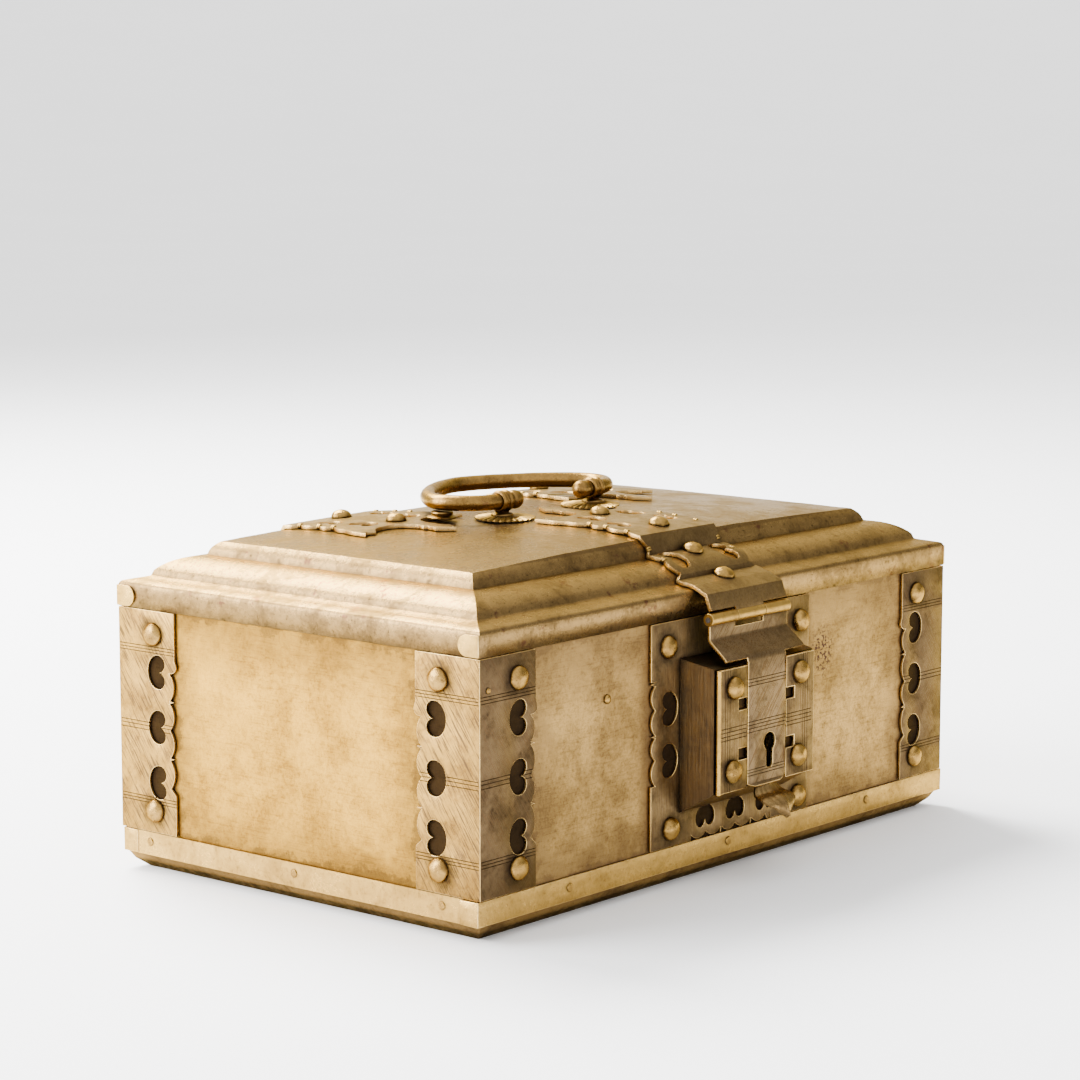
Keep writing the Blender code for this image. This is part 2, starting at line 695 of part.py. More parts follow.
def knuckle_union(part, axis_yz, radius, spans, middle_x=0.0):
    y, z = axis_yz
    for number, (x0, x1) in enumerate(spans, 1):
        barrel = rod_along_x(y, z, radius, middle_x + x0, middle_x + x1)
        boolean(part, add_cutter(f"{part.name}_knuckle_{number}", barrel), "UNION")


def knuckle_bore(part, axis_yz, radius, middle_x=0.0):
    y, z = axis_yz
    bore = rod_along_x(y, z, radius, middle_x - 40, middle_x + 40, sides=12)
    boolean(part, add_cutter(f"{part.name}_bore", bore), "DIFFERENCE")


OUTER_SPANS = ((-KNUCKLE_HALF, -KNUCKLE_SPLIT - GAP / 2), (KNUCKLE_SPLIT + GAP / 2, KNUCKLE_HALF))
MIDDLE_SPAN = ((-KNUCKLE_SPLIT + GAP / 2, KNUCKLE_SPLIT - GAP / 2),)


def front_strap(axis):
    """The hasp's strap over the lid's front, with a lip that carries the middle knuckle."""
    lip = [(-6.8, 104.6, 0.0), (-6.7, 106.9, 0.0), (-3.1, 111.3, 0.0), (0.75, 114.85, 0.0)]
    path = strap_path(lip)
    knuckle = KNUCKLE_SPLIT - GAP / 2
    step = path_marks(path)[1]
    foot = [(-STRAP_HALF, step), (-knuckle, step), (-knuckle, 0.0), (knuckle, 0.0), (knuckle, step), (STRAP_HALF, step)]
    bm = bent_sheet(
        strap_outline(path, foot),
        strap_holes(path),
        (-13.0, 0.0, 13.0),
        path_marks(path)[1:-1],
        lambda u, v: follow(path, v, u, -1),
        (0, -1, 2),
    )
    part = add_part("front_strap", bm, BRASS, 0.4, axis)
    thicken(part, STRAP)
    knuckle_union(part, HASP_AXIS, HASP_KNUCKLE, MIDDLE_SPAN)
    knuckle_bore(part, HASP_AXIS, HASP_PIN + GAP)
    for number, inset in enumerate(STRAP_RIVETS, 1):
        at, up = rivet_place(path, inset, -1)
        head = dome(at, up, sunk=-0.5, radius=STRAP_RIVET)
        add_part(f"front_strap_rivet_{number}", head, BRIGHT_BRASS, 0.25, axis)


def rear_straps(axis):
    """Strap hinges: a strap over the lid, a leaf on the back wall, and the pin between them."""
    rise = [(-GAP, SEAM + 0.4, 0.0), (-GAP, 113.2, 0.0)]
    path = strap_path(rise)
    clear = SEAM + LID_KNUCKLE + 2 * GAP - rise[0][1]
    knuckle = KNUCKLE_SPLIT + GAP / 2
    foot = [(-STRAP_HALF, 0.0), (-knuckle, 0.0), (-knuckle, clear), (knuckle, clear), (knuckle, 0.0), (STRAP_HALF, 0.0)]
    for name, middle_x in (("left", -REAR_STRAP_X), ("right", REAR_STRAP_X)):
        bm = bent_sheet(
            strap_outline(path, foot),
            strap_holes(path),
            (-13.0, 0.0, 13.0),
            path_marks(path)[1:-1],
            lambda u, v, mid=middle_x: follow(path, v, mid + u, 1),
            (0, 1, 2),
        )
        part = add_part(f"rear_strap_{name}", bm, BRASS, 0.4, axis)
        thicken(part, STRAP)
        knuckle_union(part, LID_AXIS, LID_KNUCKLE, OUTER_SPANS, middle_x)
        knuckle_bore(part, LID_AXIS, LID_PIN + GAP, middle_x)
        for number, inset in enumerate(STRAP_RIVETS, 1):
            at, up = rivet_place(path, inset, 1, middle_x)
            head = dome(at, up, sunk=0.4, radius=STRAP_RIVET)
            head = add_cutter(f"{part.name}_rivet_{number}", head)
            boolean(part, head, "UNION")
        rear_leaf(name, middle_x)
        pin = rod_along_x(*LID_AXIS, LID_PIN, middle_x - KNUCKLE_HALF - 0.6, middle_x + KNUCKLE_HALF + 0.6, 12)
        add_part(f"rear_pin_{name}", pin, STEEL, 0.4)


def rear_leaf(name, middle_x):
    """The hinge's leaf on the back wall, bent out at its top to carry the middle knuckle."""
    in_y = HALF_Y - STRAP
    path = [(in_y, 38.0), (in_y, 99.6), (in_y + 2.6, 102.6)]
    knuckle = KNUCKLE_SPLIT - GAP / 2
    bend = path[1][1] - path[0][1]
    end = bend + math.hypot(2.6, 3.0)
    half, notch = STRAP_HALF, STRAP_HALF - 2.4
    right = [(half, 52.0)] + scallops((half, 52.0), [(notch, 42.0), (notch, 32.0), (notch - 4.0, 22.0)], 2.0)
    right = [(knuckle, end), (knuckle, bend - 0.6), (half, bend - 0.6)] + right + [(7.0, 14.0), (3.4, 10.0)]
    outline = right + [(0.0, 0.0)] + [(-u, v) for u, v in reversed(right)]

    def place(u, v):
        share = max(v - bend, 0.0) / (end - bend)
        return (middle_x + u, in_y + 2.6 * share, 38.0 + min(v, bend) + 3.0 * share)

    bm = bent_sheet(outline, [heart(0.0, 26.0, 90)], (), (bend,), place, (0, 1, 0))
    part = add_part(f"rear_leaf_{name}", bm, BRASS, 0.42)
    thicken(part, STRAP)
    knuckle_union(part, LID_AXIS, LID_KNUCKLE, MIDDLE_SPAN, middle_x)
    knuckle_bore(part, LID_AXIS, LID_PIN + GAP, middle_x)
    for number, (x, z) in enumerate(((-16.0, 90.0), (16.0, 90.0), (0.0, 78.0)), 1):
        head = add_cutter(f"{part.name}_rivet_{number}", dome((middle_x + x, HALF_Y, z), (0, 1, 0), sunk=0.5))
        boolean(part, head, "UNION")


def hasp(axis):
    """The hasp: two knuckles, a leaf that slopes out over the lock case, the tongue, and a leaf-shaped pull."""
    in_y = HASP_AXIS[0] + 0.5
    flush = GUIDE_Y
    path = [
        (in_y, 103.4),
        (in_y, 94.8),
        (flush, 87.5),
        (flush, 37.6),
        (-112.6, 34.9),
        (-117.0, 33.2),
        (-120.0, 29.6),
        (-121.4, 25.2),
    ]
    marks = [0.0]
    for (y0, z0), (y1, z1) in zip(path, path[1:]):
        marks.append(marks[-1] + math.hypot(y1 - y0, z1 - z0))
    knuckle = KNUCKLE_SPLIT + GAP / 2
    wide, below = KNUCKLE_HALF - 0.3, HASP_KNUCKLE + GAP
    slope_end, tongue_end = marks[2], marks[3]
    right = [(knuckle, below), (knuckle, 0.0), (wide, 0.0), (wide, slope_end), (TONGUE_HALF, slope_end)]
    right += [(TONGUE_HALF, tongue_end - 2.0), (9.0, tongue_end + 0.5), (5.0, marks[4]), (7.8, marks[4] + 1.6)]
    right += [(9.3, marks[5] - 0.6), (8.8, marks[5] + 2.4), (6.0, marks[6] - 0.4), (2.4, marks[6] + 3.0)]
    outline = right + [(0.0, marks[7])] + [(-u, v) for u, v in reversed(right)]

    def place(u, v):
        for (y0, z0), (y1, z1), m0, m1 in zip(path, path[1:], marks, marks[1:]):
            if v <= m1 or m1 == marks[-1]:
                share = (v - m0) / (m1 - m0)
                return (u, y0 + (y1 - y0) * share, z0 + (z1 - z0) * share)

    hole = [(x, marks[2] + path[2][1] - z) for x, z in keyhole()]
    bm = bent_sheet(outline, [hole], (), marks[1:-1], place, (0, -1, 0))
    part = add_part("hasp", bm, BRASS, 0.4, axis)
    thicken(part, LEAF)
    knuckle_union(part, HASP_AXIS, HASP_KNUCKLE, OUTER_SPANS)
    knuckle_bore(part, HASP_AXIS, HASP_PIN + GAP)

    pin = rod_along_x(*HASP_AXIS, HASP_PIN, -KNUCKLE_HALF - 0.4, KNUCKLE_HALF + 0.4, 12)
    add_part("hasp_pin", pin, STEEL, 0.4, axis)

    depth, half_z, eye_y, eye_z = 9.6, 6.0, 2.8, 3.2
    back = GUIDE_Y + GAP
    shape = [(back, -half_z), (back + depth - 2, -half_z), (back + depth, -half_z + 2)]
    shape += [(back + depth, half_z - 2), (back + depth - 2, half_z), (back, half_z)]
    eye = [(BOLT_Y + eye_y * a, eye_z * b) for a, b in ((-1, -1), (1, -1), (1, 1), (-1, 1))]
    bm = bent_sheet(shape, [eye], (), (), lambda u, v: (-1.8, u, STAPLE_Z + v), (1, 0, 0))
    thicken(add_part("hasp_staple", bm, STEEL, 0.45, axis), 3.6)


# --- handle ---


def bail_points():
    """Half the bail from its ball end out to the middle of its bar, then mirrored."""
    straight = POST_X + EYE_WIDTH / 2 + 0.8
    half = [(BALL_X, 0.0), (straight, 0.0)]
    for i in range(1, 8):
        turn = math.pi / 2 * i / 8
        out, back = math.sin(turn) ** 1.1, 1 - math.cos(turn) ** 1.1
        half.append((straight + (BAIL_HALF - straight) * out, BAIL_WIDEST * back))
    half.append((BAIL_HALF, BAIL_WIDEST))
    for i in range(1, 10):
        turn = math.pi / 2 * i / 10
        across, back = math.cos(turn) ** 1.3, math.sin(turn) ** 1.3
        half.append((BAIL_HALF * across, BAIL_WIDEST + (BAIL_REACH - BAIL_WIDEST) * back))
    return half + [(0.0, BAIL_REACH)] + [(-x, y) for x, y in reversed(half)]


def handle(axis):
    curve = bpy.data.curves.new("bail_path", "CURVE")
    curve.dimensions = "3D"
    curve.bevel_depth = BAIL_ROD * MM
    curve.bevel_resolution = 2
    curve.use_fill_caps = True
    points = bail_points()
    spline = curve.splines.new("POLY")
    spline.points.add(len(points) - 1)
    for point, (x, y) in zip(spline.points, points):
        point.co = (x * MM, y * MM, 0.0, 1.0)
    drawn = bpy.data.objects.new("bail_path", curve)
    PARTS.objects.link(drawn)
    bpy.context.view_layer.update()
    mesh = bpy.data.meshes.new_from_object(drawn.evaluated_get(bpy.context.evaluated_depsgraph_get()))
    bpy.data.objects.remove(drawn, do_unlink=True)
    bm = bmesh.new()
    bm.from_mesh(mesh)
    bmesh.ops.remove_doubles(bm, verts=bm.verts, dist=1e-7)
    bmesh.ops.recalc_face_normals(bm, faces=bm.faces)
    bm.transform(Matrix.Scale(1 / MM, 4))
    bm.transform(Matrix.Translation((0, *HANDLE_AXIS)))
    part = add_part("bail_handle", bm, BRIGHT_BRASS, 0.3, axis)
    for number, side in enumerate((-1, 1), 1):
        ball = bmesh.new()
        place = Matrix.Translation((side * BALL_X, *HANDLE_AXIS)) @ Matrix.Rotation(math.pi / 2, 4, "Y")
        bmesh.ops.create_uvsphere(ball, u_segments=14, v_segments=8, radius=BALL, matrix=place)
        boolean(part, add_cutter(f"bail_ball_{number}", ball), "UNION")


def handle_mounts(axis):
    """Eye posts for the bail, the gadrooned rosettes under them, and the studs that the bail rests on."""
    _, pivot_z = HANDLE_AXIS
    for name, side in (("left", -1), ("right", 1)):
        rosette_foot = panel_z((ROSETTE_X - ROSETTE) * side, 0) + GAP
        rosette_top = rosette_foot + 1.2
        place = Matrix.Translation((side * ROSETTE_X, 0, rosette_foot))
        profile = [(ROSETTE, 0.0), (ROSETTE, 0.5), (8.5, 1.2), (0, 1.2)]
        bm = turned(profile, 36, place)
        for vert in bm.verts:
            flat = Vector((vert.co.x - side * ROSETTE_X, vert.co.y))
            if flat.length > ROSETTE - 0.1 and round(math.atan2(flat.y, flat.x) * 18 / math.pi) % 2:
                vert.co.x -= flat.x * 0.05
                vert.co.y -= flat.y * 0.05
        add_part(f"rosette_{name}", bm, BRASS, 0.4, axis)

        eye = rod_along_x(0, pivot_z, EYE_OUT, side * POST_X - EYE_WIDTH / 2, side * POST_X + EYE_WIDTH / 2, 20)
        part = add_part(f"handle_post_{name}", eye, BRASS, 0.35, axis)
        foot = rosette_top + GAP
        stem = turned(
            [(4.6, 0.0), (4.6, 0.8), (2.8, 1.4), (2.6, pivot_z - foot)], 14, Matrix.Translation((side * POST_X, 0, foot))
        )
        boolean(part, add_cutter(f"post_stem_{name}", stem), "UNION")
        bore = rod_along_x(0, pivot_z, EYE_BORE, side * POST_X - 9, side * POST_X + 9, 20)
        boolean(part, add_cutter(f"post_bore_{name}", bore), "DIFFERENCE")

        x, y = side * STUD_AT[0], STUD_AT[1]
        stud_foot = panel_z(x - side * STUD, y - STUD) + STRAP + 2 * GAP
        stud_top = pivot_z - BAIL_ROD - GAP
        rise = stud_top - stud_foot
        profile = [(STUD, 0.0), (STUD, 0.8), (4.6, 1.3), (4.3, rise - 0.5), (3.6, rise)]
        stud = turned(profile, 16, Matrix.Translation((x, y, stud_foot)))
        add_part(f"rest_stud_{name}", stud, BRASS, 0.35, axis)


clear_scene()
PARTS = new_collection("brass_casket")
CUTTERS = new_collection("cutters", hidden=True)

base_pan()
wall_panels()
base_bands()
corner_straps()
lock_plate()
lock_case()
lock_guides()
lock_works()
lock_rivets()

LID = add_axis("lid_axis", (0, *LID_AXIS))
HASP = add_axis("hasp_axis", (0, *HASP_AXIS), LID)
HANDLE = add_axis("handle_axis", (0, *HANDLE_AXIS), LID)
lid_shell(LID)
lid_corner_tabs(LID)
front_strap(LID)
rear_straps(LID)
hasp(HASP)
handle(HANDLE)
handle_mounts(LID)
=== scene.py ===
"""Looks for the strapped brass casket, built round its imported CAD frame.

Shapes are drawn in millimetres in the frame's own axes (+X along the casket, -Y towards the lock, +Z up)
and turned into metres when each piece is made.
"""

import math

import bmesh
import bpy
from mathutils import Matrix, Vector, noise


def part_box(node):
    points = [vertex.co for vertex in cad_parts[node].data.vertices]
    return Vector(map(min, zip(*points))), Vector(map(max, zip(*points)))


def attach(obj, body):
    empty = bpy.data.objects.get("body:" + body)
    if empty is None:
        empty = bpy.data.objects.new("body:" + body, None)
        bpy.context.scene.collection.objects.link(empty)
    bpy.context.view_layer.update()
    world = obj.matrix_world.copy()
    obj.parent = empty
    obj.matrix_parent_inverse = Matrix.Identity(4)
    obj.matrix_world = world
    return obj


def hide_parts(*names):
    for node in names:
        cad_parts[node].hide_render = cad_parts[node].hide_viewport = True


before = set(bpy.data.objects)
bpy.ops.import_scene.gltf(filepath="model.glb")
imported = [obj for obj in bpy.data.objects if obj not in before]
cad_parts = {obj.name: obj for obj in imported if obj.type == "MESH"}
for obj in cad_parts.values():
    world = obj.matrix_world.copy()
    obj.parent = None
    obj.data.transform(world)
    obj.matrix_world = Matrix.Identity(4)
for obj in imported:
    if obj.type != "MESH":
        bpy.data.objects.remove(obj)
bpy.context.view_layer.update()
MM = 0.001


def cad_box(node):
    """A CAD node's lowest and highest corner, in millimetres."""
    low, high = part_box(node)
    return low / MM, high / MM


def middle_of(node):
    """The middle of a CAD node's box, in millimetres."""
    return tuple(sum(ends) / 2 for ends in zip(*cad_box(node)))


# --- driving dimensions, read from the frame ---

HALF_X = cad_box("lid_shell")[1].x
HALF_Y = cad_box("lid_shell")[1].y
SEAM = cad_box("lid_shell")[0].z
BAND_BOTTOM, BAND_TOP = (corner.z for corner in cad_box("base_band_left"))
WALL_X = cad_box("right_end_panel")[1].x
WALL_Y = cad_box("back_panel")[1].y
CASE_FACE_Y = cad_box("lock_case")[0].y
HASP_AXIS = middle_of("hasp_pin")[1:]
LID_AXIS = middle_of("rear_pin_left")[1:]
REAR_STRAP_X = middle_of("rear_pin_right")[0]
POST_X = middle_of("handle_post_right")[0]
BAIL_Z = middle_of("bail_handle")[2]
BAIL_REACH = cad_box("bail_handle")[1].y - 3.1

GAP = 0.3
SUNK = 0.05  # how far rivets and rings reach into the metal under them
STRAP, STRAP_EDGE, LEAF = 1.0, 1.5, 1.2  # thicknesses: flat straps, straps over the lid, hasp and cheeks
STRAP_HALF, STRAP_TOP = 24.5, SEAM - 0.4
GUIDE_Y = CASE_FACE_Y - GAP
KNUCKLE_HALF, KNUCKLE_SPLIT = 25.5, 9.0
RIVET, RIVET_RISE = 4.6, 3.5
BAIL_ROD = 3.25
CORNER_LINES = (90.4, 89.2, 88.0, 60.2, 58.8, 57.2, 30.6, 29.4, 28.2)
X_SIDES = (("left", -1), ("right", 1))
Y_SIDES = (("front", -1), ("back", 1))

# The lid's outer section: inset from the rim's face, height over the seam, share of the panel's crown
LID_SECTION = (
    (0.0, 0.0, 0.0), (0.0, 7.9, 0.0), (0.15, 8.6, 0.0), (0.5, 9.3, 0.0),
    (1.2, 9.8, 0.0), (4.8, 10.6, 0.0), (8.7, 11.45, 0.0), (9.2, 11.8, 0.0),
    (9.5, 12.6, 0.0), (9.9, 13.7, 0.0), (10.9, 14.7, 0.0), (12.3, 15.8, 0.0),
    (13.9, 16.8, 0.0), (15.7, 17.65, 0.0), (17.6, 18.35, 0.0), (19.6, 18.85, 0.0),
    (21.8, 19.2, 0.0), (23.7, 19.35, 0.0), (24.5, 19.5, 0.0), (24.9, 20.3, 0.05),
    (25.3, 21.4, 0.15), (26.0, 22.6, 0.4), (27.2, 23.75, 0.75), (28.5, 24.7, 1.0),
)
LID_SECTION = [(inset, SEAM + rise, share) for inset, rise, share in LID_SECTION]
PANEL_INSET, PANEL_EDGE_Z = LID_SECTION[-1][:2]
LONG_BOW, SHORT_BOW, CROWN = 2.0, 0.3, 2.6


def crown(x, y):
    across = (x / (HALF_X - PANEL_INSET)) ** 2
    along = (y / (HALF_Y - PANEL_INSET)) ** 2
    return LONG_BOW * (1 - across) + SHORT_BOW * (1 - along) + CROWN * (1 - across) * (1 - along**2)


# --- materials ---


class Look:
    """A procedural material: each method adds a node and gives back the socket that carries its result."""

    def __init__(self, name, roughness=0.4, metallic=1.0):
        self.material = bpy.data.materials.new(name)
        self.material.use_nodes = True
        self.tree = self.material.node_tree
        self.shader = self.tree.nodes["Principled BSDF"]
        self.shader.inputs["Metallic"].default_value = metallic
        self.shader.inputs["Roughness"].default_value = roughness
        if metallic:
            self.shader.inputs["Specular Tint"].default_value = BRASS_GLEAM
        self.where = self.add("ShaderNodeTexCoord").outputs["Object"]

    def add(self, kind, inputs=(), **settings):
        node = self.tree.nodes.new(kind)
        for key, value in settings.items():
            setattr(node, key, value)
        for key, value in dict(inputs).items():
            self.put(node.inputs[key], value)
        return node

    def put(self, socket, value):
        """Links a node's input to a result, or sets it to a plain value."""
        if isinstance(value, bpy.types.NodeSocket):
            self.tree.links.new(value, socket)
        else:
            socket.default_value = value

    def turned(self, degrees=(0, 0, 0), scale=(1, 1, 1)):
        """Coordinates turned and stretched, for grain that runs one way."""
        angles = tuple(math.radians(each) for each in degrees)
        turn = self.add("ShaderNodeMapping", {"Vector": self.where, "Rotation": angles})
        return self.add("ShaderNodeMapping", {"Vector": turn.outputs[0], "Scale": scale}).outputs[0]

    def noise(self, size_mm, detail=4.0, rough=0.6, at=None, warp=0.0):
        """Cloudy noise with features of about this size; with its own coordinates, size_mm is their scale."""
        scale = size_mm if at else 1 / (size_mm * MM)
        inputs = {"Vector": at or self.where, "Scale": scale, "Detail": detail, "Roughness": rough}
        return self.add("ShaderNodeTexNoise", {**inputs, "Distortion": warp}).outputs["Fac"]

    def span(self, value, low, high, start=0.0, end=1.0):
        """Maps low..high smoothly onto start..end."""
        inputs = {"Value": value, "From Min": low, "From Max": high, "To Min": start, "To Max": end}
        return self.add("ShaderNodeMapRange", inputs, interpolation_type="SMOOTHSTEP").outputs[0]

    def math(self, operation, a, b=0.0):
        """A sum or a difference is kept between 0 and 1 here; raw() leaves it as it is."""
        clamp = operation in ("ADD", "SUBTRACT")
        return self.add("ShaderNodeMath", {0: a, 1: b}, operation=operation, use_clamp=clamp).outputs[0]

    def raw(self, operation, a, b=0.0):
        return self.add("ShaderNodeMath", {0: a, 1: b}, operation=operation).outputs[0]

    def axis(self, letter):
        return self.add("ShaderNodeSeparateXYZ", {0: self.where}).outputs[letter]

    def blend(self, share, first, second):
        """Goes from the first colour to the second with share; 6 and 7 are the node's colour inputs."""
        node = self.add("ShaderNodeMix", {"Factor": share}, data_type="RGBA", clamp_factor=True)
        for number, value in ((6, first), (7, second)):
            self.put(node.inputs[number], (*value, 1.0) if isinstance(value, tuple) else value)
        return node.outputs[2]

    def bump(self, height, depth_mm):
        inputs = {"Height": height, "Distance": depth_mm * MM, "Strength": 1.0}
        return self.add("ShaderNodeBump", inputs).outputs[0]

    def halo(self, spots_mm, reach_mm, mirrored):
        """1 at the given spots, fading out by reach: the soiling that gathers round a rivet.

        mirrored spots stand in all four quarters of the object.
        """
        parts = self.add("ShaderNodeSeparateXYZ", {0: self.where})
        across, along = parts.outputs["X"], parts.outputs["Y"]
        if mirrored:
            across, along = self.raw("ABSOLUTE", across), self.raw("ABSOLUTE", along)
        at = self.add("ShaderNodeCombineXYZ", {0: across, 1: along, 2: parts.outputs["Z"]}).outputs[0]
        nearest = 1.0
        for spot in spots_mm:
            inputs = {0: at, 1: tuple(value * MM for value in spot)}
            away = self.add("ShaderNodeVectorMath", inputs, operation="DISTANCE").outputs["Value"]
            nearest = self.raw("MINIMUM", away, nearest)
        wobble = self.span(self.noise(4.0), 0.25, 0.75, -0.001, 0.001)
        return self.span(self.raw("ADD", nearest, wobble), 0.004, reach_mm * MM, 1.0, 0.0)

    def crevice(self, reach_mm):
        """Near 1 where other metal stands close by, 0 in the open."""
        node = self.add("ShaderNodeAmbientOcclusion", {"Distance": reach_mm * MM}, samples=6)
        return self.math("SUBTRACT", 1.0, node.outputs["AO"])

    def done(self, colour, roughness=None, normal=None):
        self.tree.links.new(colour, self.shader.inputs["Base Color"])
        if roughness is not None:
            self.tree.links.new(roughness, self.shader.inputs["Roughness"])
        if normal is not None:
            self.tree.links.new(normal, self.shader.inputs["Normal"])
        return self.material


BRASS_GLEAM = (0.93, 0.74, 0.46, 1.0)  # the colour of what brass mirrors at a grazing angle
GOLD, OLIVE, BROWN = (0.42, 0.27, 0.10), (0.23, 0.14, 0.052), (0.085, 0.05, 0.024)
UMBER, DARK = (0.06, 0.030, 0.009), (0.014, 0.009, 0.006)
STAIN, SPECK = (0.085, 0.03, 0.022), (0.035, 0.018, 0.02)


def aged_brass(
    name, light, shade, grain=None, rough=0.38, dirt_and_shade=1.0, patch_mm=28.0, pits=0.0, rivets=(), stain=0.0,
    dark_above=None
):
    """Brass gone brown in its hollows, partly as patina and partly as painted shade: clouds of patina, fine
    mottling, scratches along the grain, and pits.

    dirt_and_shade, pits and stain are strengths, rivets are places where soiling gathers, and dark_above is the
    height in millimetres over which the metal is browner. grain is (turn, width and length of a scratch,
    strength).
    dirt_and_shade darkens the metal where other metal stands close: partly patina, partly painted shade.
    """
    look = Look(name, rough)
    clouds = look.noise(patch_mm, 6.0, 0.68, warp=0.25)
    mottle = look.noise(2.2, 7.0, 0.75)
    share = look.math("ADD", look.span(clouds, 0.40, 0.66, 0.0, 0.7), look.span(mottle, 0.45, 0.72, 0.0, 0.5))
    colour = look.blend(share, light, shade)
    height = look.noise(0.6, 4.0, 0.7)
    if grain:
        turn, across_mm, along_mm, strength = grain
        scale = (1 / (across_mm * MM), 1 / (across_mm * MM), 1 / (along_mm * MM))
        streaks = look.noise(1.0, 3.0, 0.6, at=look.turned(turn, scale))
        scratch = look.span(streaks, 0.48, 0.64)
        colour = look.blend(look.math("MULTIPLY", scratch, strength), colour, BROWN)
        height = look.math("SUBTRACT", look.math("MULTIPLY", height, 0.4), look.math("MULTIPLY", scratch, 0.6))
    if pits:
        specks = look.span(look.noise(1.1, 3.0, 0.6), 0.64, 0.70, 0.0, pits)
        colour = look.blend(specks, colour, DARK)
        flecks = look.span(look.noise(0.9, 2.0, 0.5), 0.66, 0.72, 0.0, 0.5 * pits)
        colour = look.blend(flecks, colour, GOLD)
    if stain:
        blots = look.span(look.noise(8.0, 5.0, 0.7), 0.60, 0.68, 0.0, stain)
        colour = look.blend(blots, colour, STAIN)
    if dark_above:
        up = look.span(look.axis("Z"), dark_above * MM, (dark_above + 0.6) * MM, 0.0, 0.6)
        colour = look.blend(up, colour, BROWN)
    # Darker where other metal stands close, by ambient occlusion: partly patina in the hollows, partly painted
    # shade.
    grime_and_shade = look.math("MULTIPLY", look.span(look.crevice(4.5), 0.05, 0.42), dirt_and_shade)
    if rivets:
        rings = look.halo(rivets, 9.5, rivets is CORNER_SPOTS)
        grime_and_shade = look.math("MAXIMUM", grime_and_shade, look.math("MULTIPLY", rings, 0.75))
    grime_and_shade = look.math("MULTIPLY", grime_and_shade, look.span(look.noise(3.0), 0.2, 0.7, 0.6, 1.0))
    colour = look.blend(grime_and_shade, colour, DARK)
    dull = look.span(share, 0.0, 1.0, rough - 0.06, rough + 0.14)
    dull = look.raw("ADD", dull, look.raw("MULTIPLY", grime_and_shade, 0.2))
    return look.done(colour, dull, look.bump(height, 0.12))


def wall_brass(name, across, half_across, covered, light, shade):
    """Brushed wall sheet, dark under and beside the straps that cover its edges and browner along its top.

    Gives back the unfinished look, its colour, and how grimy, how shaded and how covered each place is.
    """
    look = Look(name, 0.42)
    clouds = look.noise(30.0, 8.0, 0.72, warp=0.2)
    mottle = look.noise(1.3, 6.0, 0.8)
    turn = (0, 90, 0) if across == "X" else (90, 0, 0)
    brushed = look.noise(1.0, 4.0, 0.7, at=look.turned(turn, (1400, 1400, 90)))
    share = look.math("ADD", look.span(clouds, 0.38, 0.66, 0.0, 0.65), look.span(mottle, 0.42, 0.70, 0.0, 0.5))
    share = look.math("ADD", share, look.span(brushed, 0.48, 0.70, 0.0, 0.3))
    colour = look.blend(share, light, shade)
    along = look.raw("ABSOLUTE", look.axis(across))
    wobble = look.span(look.noise(11.0, 6.0, 0.7), 0.25, 0.75, -0.005, 0.005)
    bare = look.raw("SUBTRACT", (half_across - covered) * MM, along)
    through, face = ("Y", WALL_Y) if across == "X" else ("X", WALL_X)
    outside = look.span(look.raw("ABSOLUTE", look.axis(through)), (face - 1.2) * MM, (face - 0.4) * MM)
    side = look.raw("ADD", bare, wobble)
    top = look.raw("ADD", look.raw("SUBTRACT", SEAM * MM, look.axis("Z")), wobble)
    foot = look.raw("ADD", look.raw("SUBTRACT", look.axis("Z"), BAND_TOP * MM), wobble)
    nearest = look.raw("MINIMUM", look.raw("MINIMUM", side, foot), top)
    edge = look.span(nearest, 0.0, 0.006, 0.95, 0.0)
    edge = look.math("MAXIMUM", edge, look.span(nearest, 0.0, 0.020, 0.6, 0.0))
    high = look.span(top, 0.0, 0.030, 0.65, 0.0)
    grime_and_shade = look.math("MULTIPLY", look.math("MAXIMUM", edge, high), look.span(mottle, 0.3, 0.6, 1.0, 0.75))
    covered = look.math("MULTIPLY", look.span(bare, -0.002, 0.001, 0.9, 0.0), outside)
    return look, colour, grime_and_shade, share, covered


def end_wall_brass():
    """The end walls, browned round their edges."""
    look, colour, grime_and_shade, share, covered = wall_brass(
        "wall_brass_ends", "Y", HALF_Y, 30.0, (0.46, 0.25, 0.03), (0.20, 0.10, 0.012)
    )
    colour = look.blend(grime_and_shade, colour, UMBER)
    colour = look.blend(covered, colour, DARK)
    dull = look.raw("ADD", look.span(share, 0.0, 1.0, 0.34, 0.5), look.raw("MULTIPLY", covered, 0.35))
    return look.done(colour, dull, look.bump(look.noise(0.7, 5.0, 0.7), 0.1))


